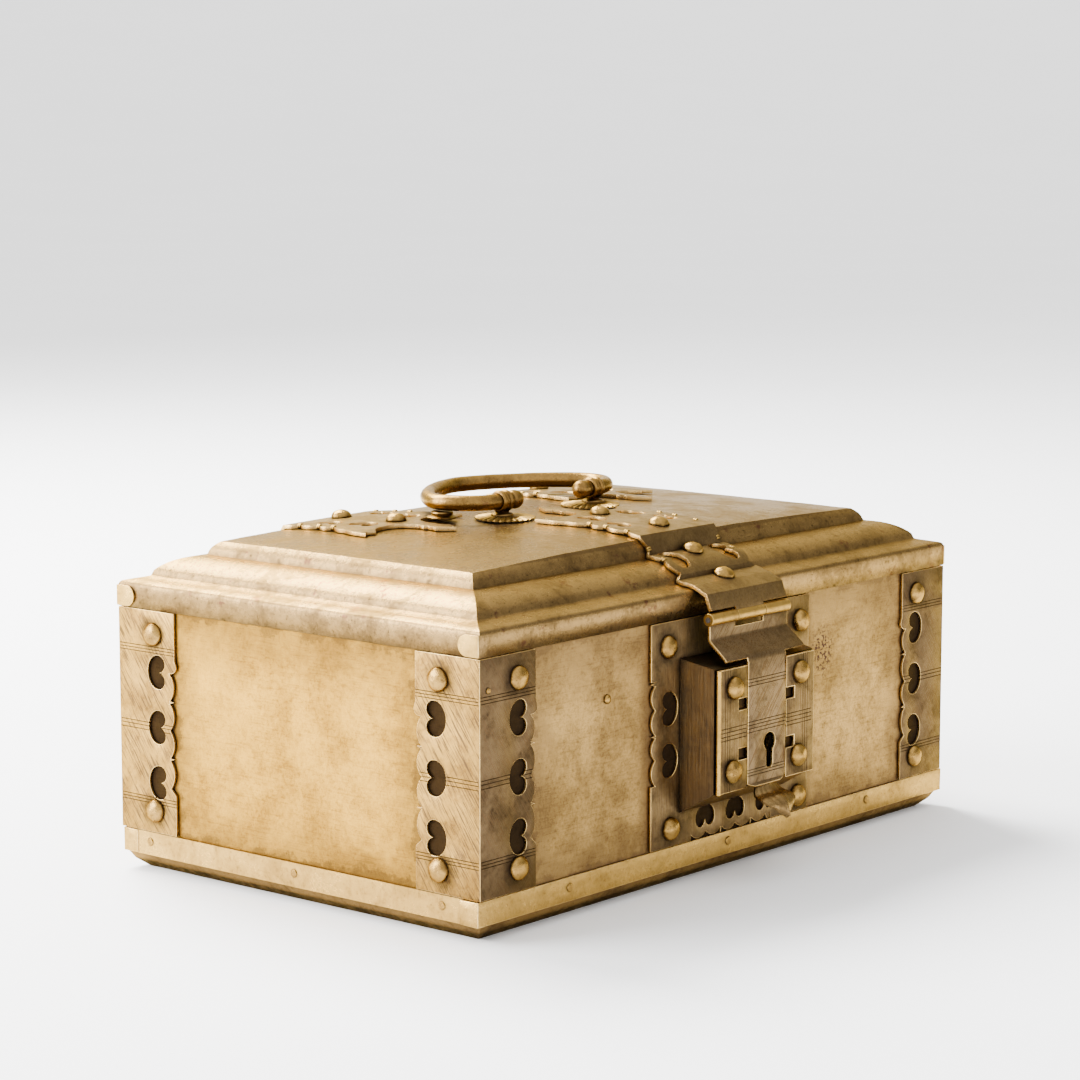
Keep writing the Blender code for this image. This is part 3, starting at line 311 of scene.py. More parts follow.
def long_wall_brass():
    """The long walls are dark behind the lock plate too, and pitted to its right."""
    look, colour, grime_and_shade, share, covered = wall_brass(
        "wall_brass_long", "X", HALF_X, 30.0, (0.37, 0.23, 0.074), (0.150, 0.088, 0.028)
    )
    front = look.span(look.axis("Y"), -(WALL_Y - 0.4) * MM, -(WALL_Y - 1.2) * MM, 1.0, 0.0)
    plate = look.raw("SUBTRACT", look.raw("ABSOLUTE", look.axis("X")), 0.0505)
    beside = look.math("MULTIPLY", look.span(plate, 0.0, 0.010, 0.8, 0.0), front)
    grime_and_shade = look.math("MAXIMUM", grime_and_shade, beside)
    colour = look.blend(grime_and_shade, colour, BROWN)
    under = look.math("MULTIPLY", look.span(plate, -0.003, 0.0, 0.9, 0.0), front)
    covered = look.math("MAXIMUM", covered, under)
    colour = look.blend(covered, colour, DARK)
    across = look.raw("DIVIDE", look.raw("SUBTRACT", look.axis("X"), 0.0625), 0.010)
    up = look.raw("DIVIDE", look.raw("SUBTRACT", look.axis("Z"), 0.079), 0.013)
    away = look.raw("ADD", look.raw("MULTIPLY", across, across), look.raw("MULTIPLY", up, up))
    patch = look.math("MULTIPLY", look.span(away, 0.1, 1.0, 1.0, 0.0), front)
    specks = look.math("MULTIPLY", look.span(look.noise(1.6, 2.0, 0.5), 0.53, 0.57), patch)
    colour = look.blend(specks, colour, SPECK)
    dull = look.raw("ADD", look.span(share, 0.0, 1.0, 0.36, 0.52), look.raw("MULTIPLY", covered, 0.35))
    return look.done(colour, dull, look.bump(look.noise(0.7, 5.0, 0.7), 0.1))


def case_brass():
    """The lock case: brushed up and down its sides, and dark where the cheeks cover its face, a painted shade
    for the inside of the lock seen through their notches.
    """
    look = Look("case_brass", 0.36)
    streaks = look.noise(1.0, 4.0, 0.65, at=look.turned((0, 0, 0), (1500, 1500, 45)))
    clouds = look.noise(16.0, 6.0, 0.7, warp=0.2)
    share = look.math("ADD", look.span(streaks, 0.36, 0.70, 0.0, 0.55), look.span(clouds, 0.40, 0.66, 0.0, 0.5))
    colour = look.blend(share, (0.17, 0.118, 0.060), (0.075, 0.050, 0.027))
    # Darker where other metal stands close, by ambient occlusion: partly patina, partly painted shade.
    grime_and_shade = look.span(look.crevice(5.0), 0.05, 0.45)
    colour = look.blend(grime_and_shade, colour, DARK)
    # Painted shade: the face behind the cheeks is made near black, so that their notches read as holes into the
    # dark lock.
    face = look.span(look.axis("Y"), (CASE_FACE_Y + 0.05) * MM, (CASE_FACE_Y + 0.4) * MM, 1.0, 0.0)
    colour = look.blend(face, colour, DARK)
    return look.done(colour, look.span(share, 0.0, 1.0, 0.3, 0.46), look.bump(streaks, 0.12))


def dull_iron():
    """Grey iron with brown patches of rust."""
    look = Look("dull_iron", 0.55)
    colour = look.blend(look.span(look.noise(3.0, 5.0), 0.35, 0.7), (0.13, 0.12, 0.11), (0.09, 0.05, 0.03))
    return look.done(colour, None, look.bump(look.noise(0.6), 0.08))


CORNER_RIVETS = ((20.0, 95.0), (20.0, 25.0), (-18.6, 95.0), (-18.6, 25.0))
CORNER_SPOTS = [(HALF_X - max(u, 0.0), HALF_Y - max(-u, 0.0), z) for u, z in CORNER_RIVETS]
PLATE_SPOTS = [(x, -HALF_Y + SUNK, z) for x, z in ((-41.5, 94.5), (45.0, 94.0), (-39.5, 23.5), (44.0, 22.5))]
CHEEK_RIVETS = ((-21.6, 77.8), (21.6, 78.2), (-22.4, 45.4), (20.4, 45.2))
LOCK_SPOTS = PLATE_SPOTS + [(x, GUIDE_Y - LEAF + SUNK, z) for x, z in CHEEK_RIVETS]

HATCHED_ENDS = {"grain": ((35, 0, 0), 0.55, 9.0, 0.95), "patch_mm": 14.0, "rivets": CORNER_SPOTS}
HATCHED_FRONT = {**HATCHED_ENDS, "grain": ((0, 35, 0), 0.55, 9.0, 0.95)}
LOCK_GRAIN = {"grain": ((0, 3, 0), 0.5, 16.0, 0.7), "patch_mm": 14.0, "rivets": LOCK_SPOTS}
TONGUE_GRAIN = {"grain": ((0, -40, 0), 0.55, 9.0, 0.9), "patch_mm": 14.0}
LID_AGE = {"rough": 0.30, "patch_mm": 18.0, "pits": 0.7, "stain": 0.8, "dark_above": PANEL_EDGE_Z}
PULL_AGE = {"rough": 0.28, "dirt_and_shade": 0.9, "patch_mm": 9.0, "pits": 0.3}
LAP_AGE = {"rough": 0.33, "dirt_and_shade": 0.8, "patch_mm": 20.0, "pits": 0.25}
RUBBED_AGE = {"rough": 0.17, "dirt_and_shade": 0.9, "patch_mm": 4.0, "pits": 0.6}
BAIL_AGE = {"rough": 0.22, "dirt_and_shade": 0.9, "patch_mm": 12.0, "pits": 0.5, "stain": 0.4}
EDGE_WEAR_AND_HIGHLIGHT_AGE = {"rough": 0.28, "dirt_and_shade": 0.25, "patch_mm": 6.0}
GROOVE_AGE = {"rough": 0.6, "dirt_and_shade": 0.4, "patch_mm": 5.0}

LOOKS = {
    "ends": end_wall_brass(),
    "long": long_wall_brass(),
    # Lit and shaded copies of one strap brass: the lighter one on faces turned to the ends is painted light, the
    # darker one on faces turned to the front and back is painted shade.
    "strap_lit_side": aged_brass("hatched_brass_lit_ends", (0.37, 0.212, 0.046), (0.17, 0.09, 0.022), **HATCHED_ENDS),
    "strap_shaded_side": aged_brass("hatched_brass_shaded_front", (0.100, 0.065, 0.032), (0.040, 0.025, 0.013), **HATCHED_FRONT),
    "lock": aged_brass("lock_brass", (0.15, 0.097, 0.042), (0.062, 0.04, 0.018), **LOCK_GRAIN),
    "tongue": aged_brass("tongue_brass", (0.155, 0.104, 0.054), (0.066, 0.044, 0.024), **TONGUE_GRAIN),
    "lid": aged_brass("lid_brass", (0.25, 0.154, 0.056), (0.072, 0.043, 0.018), **LID_AGE),
    "pull": aged_brass("pull_brass", (0.24, 0.15, 0.055), (0.11, 0.065, 0.025), **PULL_AGE),
    "lap": aged_brass("lap_brass", (0.46, 0.28, 0.07), (0.24, 0.14, 0.035), **LAP_AGE),
    "base": aged_brass("base_brass", OLIVE, BROWN, rough=0.5),
    "bright": aged_brass("rubbed_brass", (0.35, 0.205, 0.05), (0.15, 0.082, 0.022), **RUBBED_AGE),
    "bail": aged_brass("bail_brass", (0.24, 0.135, 0.036), (0.10, 0.052, 0.015), **BAIL_AGE),
    # Brighter metal for rims and rounded edges: partly rubbed wear, partly a painted highlight.
    "edge_wear_and_highlight": aged_brass("edge_wear_and_highlight_brass", (0.74, 0.50, 0.19), (0.50, 0.32, 0.11), **EDGE_WEAR_AND_HIGHLIGHT_AGE),
    "groove": aged_brass("groove_brass", BROWN, DARK, **GROOVE_AGE),
    "case": case_brass(),
    "iron": dull_iron(),
}


# --- shape helpers ---


def smooth(mesh, sharp):
    """Smooth shading, apart from edges that turn by more than this many degrees."""
    mesh.shade_smooth()
    mesh.set_sharp_from_angle(angle=math.radians(sharp))


def dress(node, look):
    """Gives a CAD node its look, and rubbed, brighter metal with a painted highlight for its rounded edges."""
    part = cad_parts[node]
    part.data.materials.clear()
    part.data.materials.append(LOOKS[look])
    part.data.materials.append(LOOKS["edge_wear_and_highlight"])
    return part


def piece(name, bm, look, body, stands_for=(), sharp=32.0):
    """Makes a piece from a bmesh in frame millimetres that rides on a body in place of the CAD nodes named."""
    bm.transform(Matrix.Scale(MM, 4))
    mesh = bpy.data.meshes.new(name)
    bm.to_mesh(mesh)
    bm.free()
    smooth(mesh, sharp)
    made = bpy.data.objects.new(name, mesh)
    bpy.context.scene.collection.objects.link(made)
    mesh.materials.append(LOOKS[look])
    # The second material, for rims and rounded edges, is partly rubbed wear and partly a painted highlight.
    mesh.materials.append(LOOKS["edge_wear_and_highlight"])
    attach(made, body)
    if stands_for:
        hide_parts(*stands_for)
    return made


def thicken(part, thickness, offset=1.0):
    """Thickens a sheet, outwards at 1.0 and inwards at -1.0; its rim is rubbed metal with a painted highlight.
    """
    step = part.modifiers.new("thickness", "SOLIDIFY")
    step.thickness = thickness * MM
    step.offset = offset
    step.use_even_offset = True
    step.material_offset_rim = 1


def soften(part, width, segments=2, angle=40.0):
    """Rounds the sharp edges and gives them brighter metal: partly rubbed wear, partly a painted highlight."""
    step = part.modifiers.new("soft_edges", "BEVEL")
    step.width = width * MM
    step.segments = segments
    step.limit_method = "ANGLE"
    step.angle_limit = math.radians(angle)
    step.use_clamp_overlap = True
    step.material = 1


def carve(part, grooves):
    """Cuts a bmesh of grooves out of a piece for good, and leaves no cutter behind."""
    grooves.transform(Matrix.Scale(MM, 4))
    mesh = bpy.data.meshes.new("grooves")
    for face in grooves.faces:
        face.material_index = len(part.data.materials)
    grooves.to_mesh(mesh)
    grooves.free()
    part.data.materials.append(LOOKS["groove"])
    for _ in range(len(part.data.materials)):
        mesh.materials.append(LOOKS["groove"])
    cutter = bpy.data.objects.new("grooves", mesh)
    bpy.context.scene.collection.objects.link(cutter)
    step = part.modifiers.new("grooves", "BOOLEAN")
    step.operation = "DIFFERENCE"
    step.object = cutter
    step.use_self = True
    graph = bpy.context.evaluated_depsgraph_get()
    cut = bpy.data.meshes.new_from_object(part.evaluated_get(graph))
    part.modifiers.clear()
    part.data = cut
    smooth(cut, 32.0)
    bpy.data.objects.remove(cutter, do_unlink=True)


def join_rings(bm, lower, upper):
    """Joins two closed rings of vertices with faces."""
    for i in range(len(lower)):
        j = (i + 1) % len(lower)
        bm.faces.new((lower[i], lower[j], upper[j], upper[i]))


def round_ring(radius, height, sides):
    """Points round the Z axis, counter-clockwise."""
    turns = [2 * math.pi * i / sides for i in range(sides)]
    return [Vector((radius * math.cos(turn), radius * math.sin(turn), height)) for turn in turns]


def turned(profile, sides, place, bm=None, shape=None):
    """A solid of revolution about its own Z, from (radius, height) points; shape(angle, radius) flutes it."""
    bm = bm or bmesh.new()
    rings = []
    for radius, height in profile:
        if radius == 0:
            rings.append([bm.verts.new(place @ Vector((0, 0, height)))])
            continue
        ring = []
        for i, spot in enumerate(round_ring(radius, height, sides)):
            if shape:
                spot.xy *= shape(2 * math.pi * i / sides, radius)
            ring.append(bm.verts.new(place @ spot))
        rings.append(ring)
    for lower, upper in zip(rings, rings[1:]):
        for i in range(sides):
            j = (i + 1) % sides
            corners = [ring[k % len(ring)] for ring, k in ((lower, i), (lower, j), (upper, j), (upper, i))]
            bm.faces.new(list(dict.fromkeys(corners)))
    for ring in (rings[0], rings[-1]):
        if len(ring) > 1:
            bm.faces.new(ring)
    bmesh.ops.recalc_face_normals(bm, faces=bm.faces)
    return bm


def facing(at, way):
    """The place of a turned piece that stands at a point and points a given way."""
    turn = Vector((0, 0, 1)).rotation_difference(Vector(way)).to_matrix().to_4x4()
    return Matrix.Translation(at) @ turn


def dome(bm, at, way, radius=RIVET, rise=RIVET_RISE):
    """A hammered rivet head: a dome with a few flats left by the hammer."""
    rim = 0.35
    profile = [(radius * 0.96, 0.0), (radius, rim)]
    for step in range(1, 10):
        angle = math.pi / 2 * step / 10
        profile.append((radius * math.cos(angle), rim + (rise - rim) * math.sin(angle)))
    profile.append((0, rise))
    seed = Vector(at) * 0.37
    start = len(bm.verts)
    turned(profile, 28, facing(at, way), bm)
    bm.verts.ensure_lookup_table()
    for vert in bm.verts[start:]:
        away = vert.co - Vector(at)
        push = noise.noise(away * 0.45 + seed) * 0.2
        vert.co += away.normalized() * push * min(away.length / 3, 1) - Vector(way).normalized() * SUNK
    return bm


def lobe(start, end, bulge):
    """Points after start up to end along an arc that bulges to the left of the way from start to end."""
    start, end = Vector(start), Vector(end)
    side = Vector((-(end - start).y, (end - start).x)).normalized()
    points = []
    steps = 7
    for i in range(1, steps + 1):
        share = i / steps
        lift = math.sin(math.pi * share) ** 0.75
        points.append(tuple(start.lerp(end, share) + side * bulge * lift))
    return points


def scallops(start, stops, bulge, spikes=()):
    """Lobes from stop to stop, with a small thorn standing out by 2.4 at the stops numbered in spikes."""
    points = []
    for number, stop in enumerate(stops):
        points += lobe(start, stop, bulge)
        if number in spikes:
            way = (Vector(stop) - Vector(start)).normalized()
            side = Vector((-way.y, way.x)) * (2.4 if bulge > 0 else -2.4)
            points += [tuple(Vector(stop) + side + way * 0.15), tuple(Vector(stop) + way * 0.9)]
        start = points[-1]
    return points


def heart(u, v, turn_deg, scale=1.0):
    """A pierced heart 13.5 tall and 10 wide whose cleft faces +u before it is turned."""

    def arc(middle, size, start, end, steps, first):
        turns = [math.radians(start + (end - start) * i / steps) for i in range(first, steps + 1)]
        return [(middle[0] + size[0] * math.cos(turn), middle[1] + size[1] * math.sin(turn)) for turn in turns]

    points = arc((0.0, 0.0), (5.6, 6.7), 90, 270, 14, 0)
    points += arc((0.3, -3.3), (3.7, 3.4), -90, 68, 8, 1)
    points.append((0.9, 0.0))
    points += arc((0.3, 3.3), (3.7, 3.4), -68, 90, 8, 0)[:-1]
    turn = Matrix.Rotation(math.radians(turn_deg), 2)
    return [tuple(turn @ (Vector(point) * scale) + Vector((u, v))) for point in points]


def bent_sheet(outline, holes, folds_u, folds_v, place, way):
    """Fills a flat outline with its holes, folds it along the given lines, and bends it with place(u, v)."""
    bm = bmesh.new()
    for loop in (outline, *holes):
        verts = [bm.verts.new((u, v, 0)) for u, v in loop]
        for a, b in zip(verts, verts[1:] + verts[:1]):
            bm.edges.new((a, b))
    bmesh.ops.triangle_fill(bm, use_beauty=True, use_dissolve=False, edges=bm.edges)
    for folds, axis in ((folds_u, 0), (folds_v, 1)):
        for fold in folds:
            spot, normal = Vector(), Vector()
            spot[axis], normal[axis] = fold, 1.0
            everything = [*bm.verts, *bm.edges, *bm.faces]
            bmesh.ops.bisect_plane(bm, geom=everything, plane_co=spot, plane_no=normal, dist=1e-4)
    bmesh.ops.triangulate(bm, faces=bm.faces)
    for vert in bm.verts:
        vert.co = Vector(place(vert.co.x, vert.co.y))
    bm.normal_update()
    largest = max(bm.faces, key=lambda face: face.calc_area())
    if largest.normal.dot(Vector(way)) < 0:
        bmesh.ops.reverse_faces(bm, faces=bm.faces)
    return bm


def groove(bm, start, end, out, width=0.55, depth=0.32):
    """A V-shaped line to be cut from start to end into a face whose outward normal is out."""
    start, end, out = Vector(start), Vector(end), Vector(out)
    side = (end - start).normalized().cross(out) * width / 2
    ends = []
    for spot in (start, end):
        shape = [spot - out * depth, spot + side + out * 0.25, spot - side + out * 0.25]
        ends.append([bm.verts.new(point) for point in shape])
    bm.faces.new(ends[0])
    bm.faces.new(ends[1][::-1])
    for i in range(3):
        j = (i + 1) % 3
        bm.faces.new((ends[0][i], ends[1][i], ends[1][j], ends[0][j]))
    bmesh.ops.recalc_face_normals(bm, faces=bm.faces)


# --- casket body ---


CAD_LOOKS = {
    "long": ("front_panel", "back_panel"),
    "ends": ("left_end_panel", "right_end_panel"),
    "base": ("base_pan",),
    "case": ("lock_case",),
    # The back wall's hinge leaves take the darker, shaded copy of the strap brass: painted shade.
    "strap_shaded_side": ("rear_leaf_left", "rear_leaf_right"),
    "iron": (
        "lock_bolt", "bolt_keeper", "bolt_spring", "key_pin", "hasp_pin", "hasp_staple",
        "rear_pin_left", "rear_pin_right",
    ),
}


def walls_and_base():
    """The CAD pieces whose shape is right get their looks, and some a rounded edge."""
    for look, nodes in CAD_LOOKS.items():
        for node in nodes:
            part = dress(node, look)
            smooth(part.data, 30.0)
            if look in ("base", "case"):
                soften(part, 0.45)
            if look == "strap_shaded_side":
                soften(part, 0.2, 1)


def base_bands():
    """The bands round the foot: the long ones lap round the ends and have a filed upper edge. Tacks hold all."""
    thin, tab = 0.9, 8.0
    in_y = HALF_Y - STRAP
    lap_x = HALF_X - STRAP + thin + GAP
    tall, length, steps = BAND_TOP - BAND_BOTTOM, 2 * lap_x, 40
    for name, side in Y_SIDES:
        outline = [(-tab, 0.2)]
        outline += [(length * i / steps, 0.0) for i in range(steps + 1)]
        outline += [(length + tab, 0.2), (length + tab, tall - 0.15), (length, tall)]
        for i in range(steps - 1, 0, -1):
            dent = 0.18 * abs(noise.noise(Vector((i * 0.7, side * 3.0, 0))))
            outline.append((length * i / steps, tall - dent))
        outline += [(0.0, tall), (-tab, tall - 0.15)]

        def place(u, v, side=side):
            x = min(max(u, 0.0), length) - lap_x
            back = max(-u, 0.0) + max(u - length, 0.0)
            return (x, side * (in_y - back), BAND_BOTTOM + v)

        bm = bent_sheet(outline, [], (0.0, length), (tall / 3, tall * 2 / 3), place, (0, side, 0))
        for vert in bm.verts:
            vert.co.y += 0.08 * side * noise.noise(vert.co / 7.0) - 0.04 * side
        part = piece(f"foot_band_{name}", bm, "lap", "casket", (f"base_band_{name}",))
        thicken(part, thin - 0.1)
        soften(part, 0.25)
    for name, _ in X_SIDES:
        soften(dress(f"base_band_{name}", "lap"), 0.25)
    heads = bmesh.new()
    tack = [(1.6, 0.0), (1.7, 0.15), (1.45, 0.42), (0.0, 0.5)]
    tack_z, sunk = 12.0, 0.15
    for x in (-99.5, -1.8, 94.3):
        for side in (-1, 1):
            turned(tack, 14, facing((x, side * (HALF_Y - sunk), tack_z), (0, side, 0)), heads)
    for y in (-75.5, -0.7, 78.1):
        for side in (-1, 1):
            turned(tack, 14, facing((side * (HALF_X - sunk), y, tack_z), (side, 0, 0)), heads)
    piece("foot_band_tacks", heads, "bright", "casket")


def corner_straps():
    """The pierced and scalloped corner straps with their engraved lines and hammered rivets."""
    half, notch = 30.0, 27.2
    stops = (80.4, 69.5, 58.0, 47.0, 34.9, 32.4)
    outline = [(half, STRAP_TOP), (-half, STRAP_TOP), (-half, 85.4)]
    outline += scallops(outline[-1], [(-notch, z) for z in stops[:-1]], -2.2, (1, 3))
    outline += [(-half, 32.4), (-half, BAND_TOP + GAP), (half, BAND_TOP + GAP), (half, 32.4), (notch, 34.9)]
    outline += scallops(outline[-1], [(notch, z) for z in stops[-3::-1]] + [(half, 85.4)], -2.2, (0, 2))
    holes = [heart(u, z, turn) for z in (80.3, 58.5, 36.5) for u, turn in ((20.7, 0), (-20.7, 180))]
    in_x, in_y = HALF_X - STRAP, HALF_Y - STRAP
    for name_y, side_y in Y_SIDES:
        for name_x, side_x in X_SIDES:

            def place(u, v, side_x=side_x, side_y=side_y):
                return (side_x * (in_x - max(u, 0.0)), side_y * (in_y - max(-u, 0.0)), v)

            name = f"{name_y}_{name_x}"
            bm = bent_sheet(outline, holes, (0.0,), (), place, (side_x, side_y, 0))
            part = piece(f"corner_guard_{name}", bm, "strap_shaded_side", "casket", (f"corner_strap_{name}",))
            thicken(part, STRAP)
            lines = bmesh.new()
            near, far = 0.6, half + 1
            for z in CORNER_LINES:
                ends = [(side_x * (HALF_X - inset), side_y * HALF_Y, z) for inset in (near, far)]
                groove(lines, *ends, (0, side_y, 0))
                ends = [(side_x * HALF_X, side_y * (HALF_Y - inset), z - 0.35) for inset in (near, far)]
                groove(lines, *ends, (side_x, 0, 0))
            soften(part, 0.3)
            carve(part, lines)
            # Painted light and shade: faces turned to the ends take the lighter copy of the strap brass, the
            # rest the darker.
            part.data.materials.append(LOOKS["strap_lit_side"])
            for face in part.data.polygons:
                if face.material_index == 0 and abs(face.normal.x) > 0.7:
                    face.material_index = 3
            heads = bmesh.new()
            for u, z in CORNER_RIVETS:
                x, y, _ = place(u, z)
                way = (0, side_y, 0) if u > 0 else (side_x, 0, 0)
                dome(heads, Vector((x, y, z)) + Vector(way) * (STRAP - SUNK), way, rise=3.1)
            piece(f"corner_rivets_{name}", heads, "bright", "casket")


# --- lock ---


def keyhole():
    """A round with a slot below it, counter-clockwise."""
    x, z, radius, half_slot, foot = 2.0, 53.4, 3.7, 2.1, 43.2
    below = math.asin(half_slot / radius)
    points = []
    for i in range(25):
        angle = -math.pi / 2 + below + (2 * math.pi - 2 * below) * i / 24
        points.append((x + radius * math.cos(angle), z + radius * math.sin(angle)))
    return points + [(x - half_slot, foot + 1.2), (x - 1.2, foot), (x + 1.2, foot), (x + half_slot, foot + 1.2)]


def lock_plate():
    """The plate behind the lock case, scalloped and pierced with hearts at its sides and foot."""
    edge, notch = 51.3, 48.7
    low, top = BAND_TOP + GAP, SEAM - 0.6
    side_stops = (70.8, 61.0, 51.4, 41.5)
    foot_stops = (26.0, 22.7, 12.6, 2.6, -7.0, -16.4, -26.0)
    points = [(edge, top), (-edge, top), (-edge, 81.9), (-notch, 81.9), (-edge, 81.0), (-notch, 80.2)]
    points += scallops(points[-1], [(-notch, z) for z in side_stops], -2.4, (1,))
    points += [(-edge, 41.5), (-edge, low), (-26.0, low), (-26.0, low + 2.2)]
    points += scallops(points[-1], [(x, low + 2.2) for x in foot_stops[-2::-1]], -2.0, (1, 3))
    points += [(26.0, low), (edge, low), (edge, 41.5), (notch, 41.5)]
    points += scallops(points[-1], [(notch, z) for z in (*side_stops[-2::-1], 81.0)], -2.4, (1,))
    points += [(edge, 81.0)]
    holes = [heart(x, z, turn) for z in (70.4, 50.2) for x, turn in ((-40.5, 180), (40.5, 0))]
    holes += [heart(x, 24.2, -90, 0.92) for x in (-17.0, 2.4, 22.2)]
    in_y = HALF_Y - STRAP
    bm = bent_sheet(points, holes, (), (), lambda u, v: (u, -in_y, v), (0, -1, 0))
    part = piece("lock_back_plate", bm, "lock", "casket", ("lock_plate",))
    thicken(part, STRAP)
    soften(part, 0.3)


def lock_guides():
    """The two cheeks beside the tongue, with engraved lines, square notches and a filed bead on the left."""
    low, top = 37.3, 85.6
    inner, outer = 12.8, 31.4
    for name, side in X_SIDES:
        points = [(inner, low), (outer, low), (outer, top), (inner, top)]
        for z in (73.0, 53.5):
            points += [(inner, z), (inner + 5.5, z), (inner + 5.5, z - 4.4), (inner, z - 4.4)]
        bm = bent_sheet(points, [], (), (), lambda u, v, side=side: (side * u, GUIDE_Y, v), (0, -1, 0))
        part = piece(f"lock_cheek_{name}", bm, "lock", "casket", (f"lock_guide_{name}",))
        thicken(part, LEAF)
        face = GUIDE_Y - LEAF
        lines = bmesh.new()
        for x in (26.9, 25.4, 24.0):
            groove(lines, (side * x, face, low - 1), (side * x, face, top + 1), (0, -1, 0))
        for z in (62.5, 61.0, 59.4, 57.9):
            groove(lines, (side * (inner - 1), face, z), (side * 29.6, face, z), (0, -1, 0))
        soften(part, 0.3)
        carve(part, lines)
        if side > 0:
            continue
        bead = bmesh.new()
        middle = Vector((side * (outer - 0.55), face + 0.3, 0.0))
        rings, steps = [], 36
        for step in range(steps + 1):
            z = low + 0.1 + (top - low - 0.2) * step / steps
            size = 1.0 + 0.12 * noise.noise(Vector((side * 5.0, 0, z * 0.9)))
            rings.append([bead.verts.new(middle + spot) for spot in round_ring(size, z, 12)])
        for lower, upper in zip(rings, rings[1:]):
            join_rings(bead, lower, upper)
        bead.faces.new(rings[0])
        bead.faces.new(rings[-1])
        bmesh.ops.recalc_face_normals(bead, faces=bead.faces)
        piece(f"lock_bead_{name}", bead, "lap", "casket")


def lock_rivets():
    """The lock's eight dome rivets, a small rivet in the front wall and a pin in the left corner strap."""
    for number, spot in enumerate(LOCK_SPOTS, 1):
        head = dome(bmesh.new(), spot, (0, -1, 0))
        piece(f"lock_dome_{number}", head, "bright", "casket", (f"lock_rivet_{number}",))
    small = dome(bmesh.new(), (-76.6, -WALL_Y + SUNK, 79.4), (0, -1, 0), 1.9, 1.5)
    pin = [(1.1, 0.0), (1.1, 0.5), (0.7, 0.9), (0, 1.0)]
    turned(pin, 12, facing((-145.6, -HALF_Y + 0.1, 92.5), (0, -1, 0)), small)
    piece("front_wall_pins", small, "bright", "casket")


# --- lid ---


def lid():
    """The pressed lid with mitred mouldings, a crowned top and the slight waves of hand work."""
    count_x, count_y = 60, 36
    mitred, close = SEAM + 8.5, 0.02
    bm = bmesh.new()

    def wave(x, y):
        return 0.16 * noise.noise(Vector((x, y, 0)) / 16.0)

    rings = []
    for inset, height, share in LID_SECTION:
        half_x, half_y = HALF_X - inset, HALF_Y - inset
        spots = [(-half_x + 2 * half_x * i / count_x, -half_y) for i in range(count_x)]
        spots += [(half_x, -half_y + 2 * half_y * i / count_y) for i in range(count_y)]
        spots += [(half_x - 2 * half_x * i / count_x, half_y) for i in range(count_x)]
        spots += [(-half_x, half_y - 2 * half_y * i / count_y) for i in range(count_y)]
        ring = []
        for x, y in spots:
            z = height + share * crown(x, y)
            if inset > 1.0:
                z += wave(x, y)
            ring.append(bm.verts.new((x, y, z)))
        rings.append(ring)
    corners = (0, count_x, count_x + count_y, 2 * count_x + count_y)
    mitres = []
    for lower, upper in zip(rings, rings[1:]):
        join_rings(bm, lower, upper)
        mitres += [bm.edges.get((lower[k], upper[k])) for k in corners]
    edge = rings[-1]
    creases = mitres + [bm.edges.get((edge[i - 1], edge[i])) for i in range(len(edge))]
    half_x, half_y = HALF_X - PANEL_INSET, HALF_Y - PANEL_INSET
    grid = {}
    for i in range(count_x + 1):
        for j in range(count_y + 1):
            if j == 0:
                grid[i, j] = edge[i]
            elif i == count_x:
                grid[i, j] = edge[count_x + j]
            elif j == count_y:
                grid[i, j] = edge[count_x + count_y + count_x - i]
            elif i == 0:
                grid[i, j] = edge[2 * count_x + 2 * count_y - j]
            else:
                x = -half_x + 2 * half_x * i / count_x
                y = -half_y + 2 * half_y * j / count_y
                grid[i, j] = bm.verts.new((x, y, PANEL_EDGE_Z + crown(x, y) + wave(x, y)))
    for i in range(count_x):
        for j in range(count_y):
            bm.faces.new((grid[i, j], grid[i + 1, j], grid[i + 1, j + 1], grid[i, j + 1]))
    bmesh.ops.recalc_face_normals(bm, faces=bm.faces)
    bm.normal_update()
    top = max(bm.faces, key=lambda face: face.calc_center_median().z)
    if top.normal.z < 0:
        bmesh.ops.reverse_faces(bm, faces=bm.faces)
    for crease in creases:
        crease.smooth = False
    made = piece("lid_skin", bm, "lid", "lid", ("lid_shell",), sharp=40.0)
    for edge in made.data.edges:
        both = [tuple(round(value / MM, 2) for value in made.data.vertices[v].co) for v in edge.vertices]
        both = [(HALF_X - abs(x), HALF_Y - abs(y), z) for x, y, z in both]
        on_mitre = all(abs(in_x - in_y) < close and z > mitred for in_x, in_y, z in both)
        on_rim = all(
            min(abs(in_x - PANEL_INSET), abs(in_y - PANEL_INSET)) < close and z > PANEL_EDGE_Z - 0.5
            for in_x, in_y, z in both
        )
        if on_mitre or on_rim:
            edge.use_edge_sharp = True
    thicken(made, LEAF, -1.0)


def lid_tabs():
    """Small round-ended laps at the lid's corners, where its rim is folded round the ends."""
    reach, low, top = 9.5, SEAM + 0.3, 112.9
    radius = (top - low) / 2
    points = [(0.0, low)]
    for i in range(19):
        angle = -math.pi / 2 + math.pi * i / 18
        points.append((reach - radius + radius * math.cos(angle), low + radius + radius * math.sin(angle)))
    points.append((0.0, top))
    for name_y, side_y in Y_SIDES:
        for name_x, side_x in X_SIDES:

            def place(u, v, side_x=side_x, side_y=side_y):
                return (side_x * (HALF_X + 0.05), side_y * (HALF_Y - 0.1 - u), v)

            bm = bent_sheet(points, [], (), (), place, (side_x, 0, 0))
            node = f"lid_corner_tab_{name_y}_{name_x}"
            part = piece(f"rim_lap_{name_y}_{name_x}", bm, "lap", "lid", (node,))
            thicken(part, 0.85)
            soften(part, 0.3, 3)


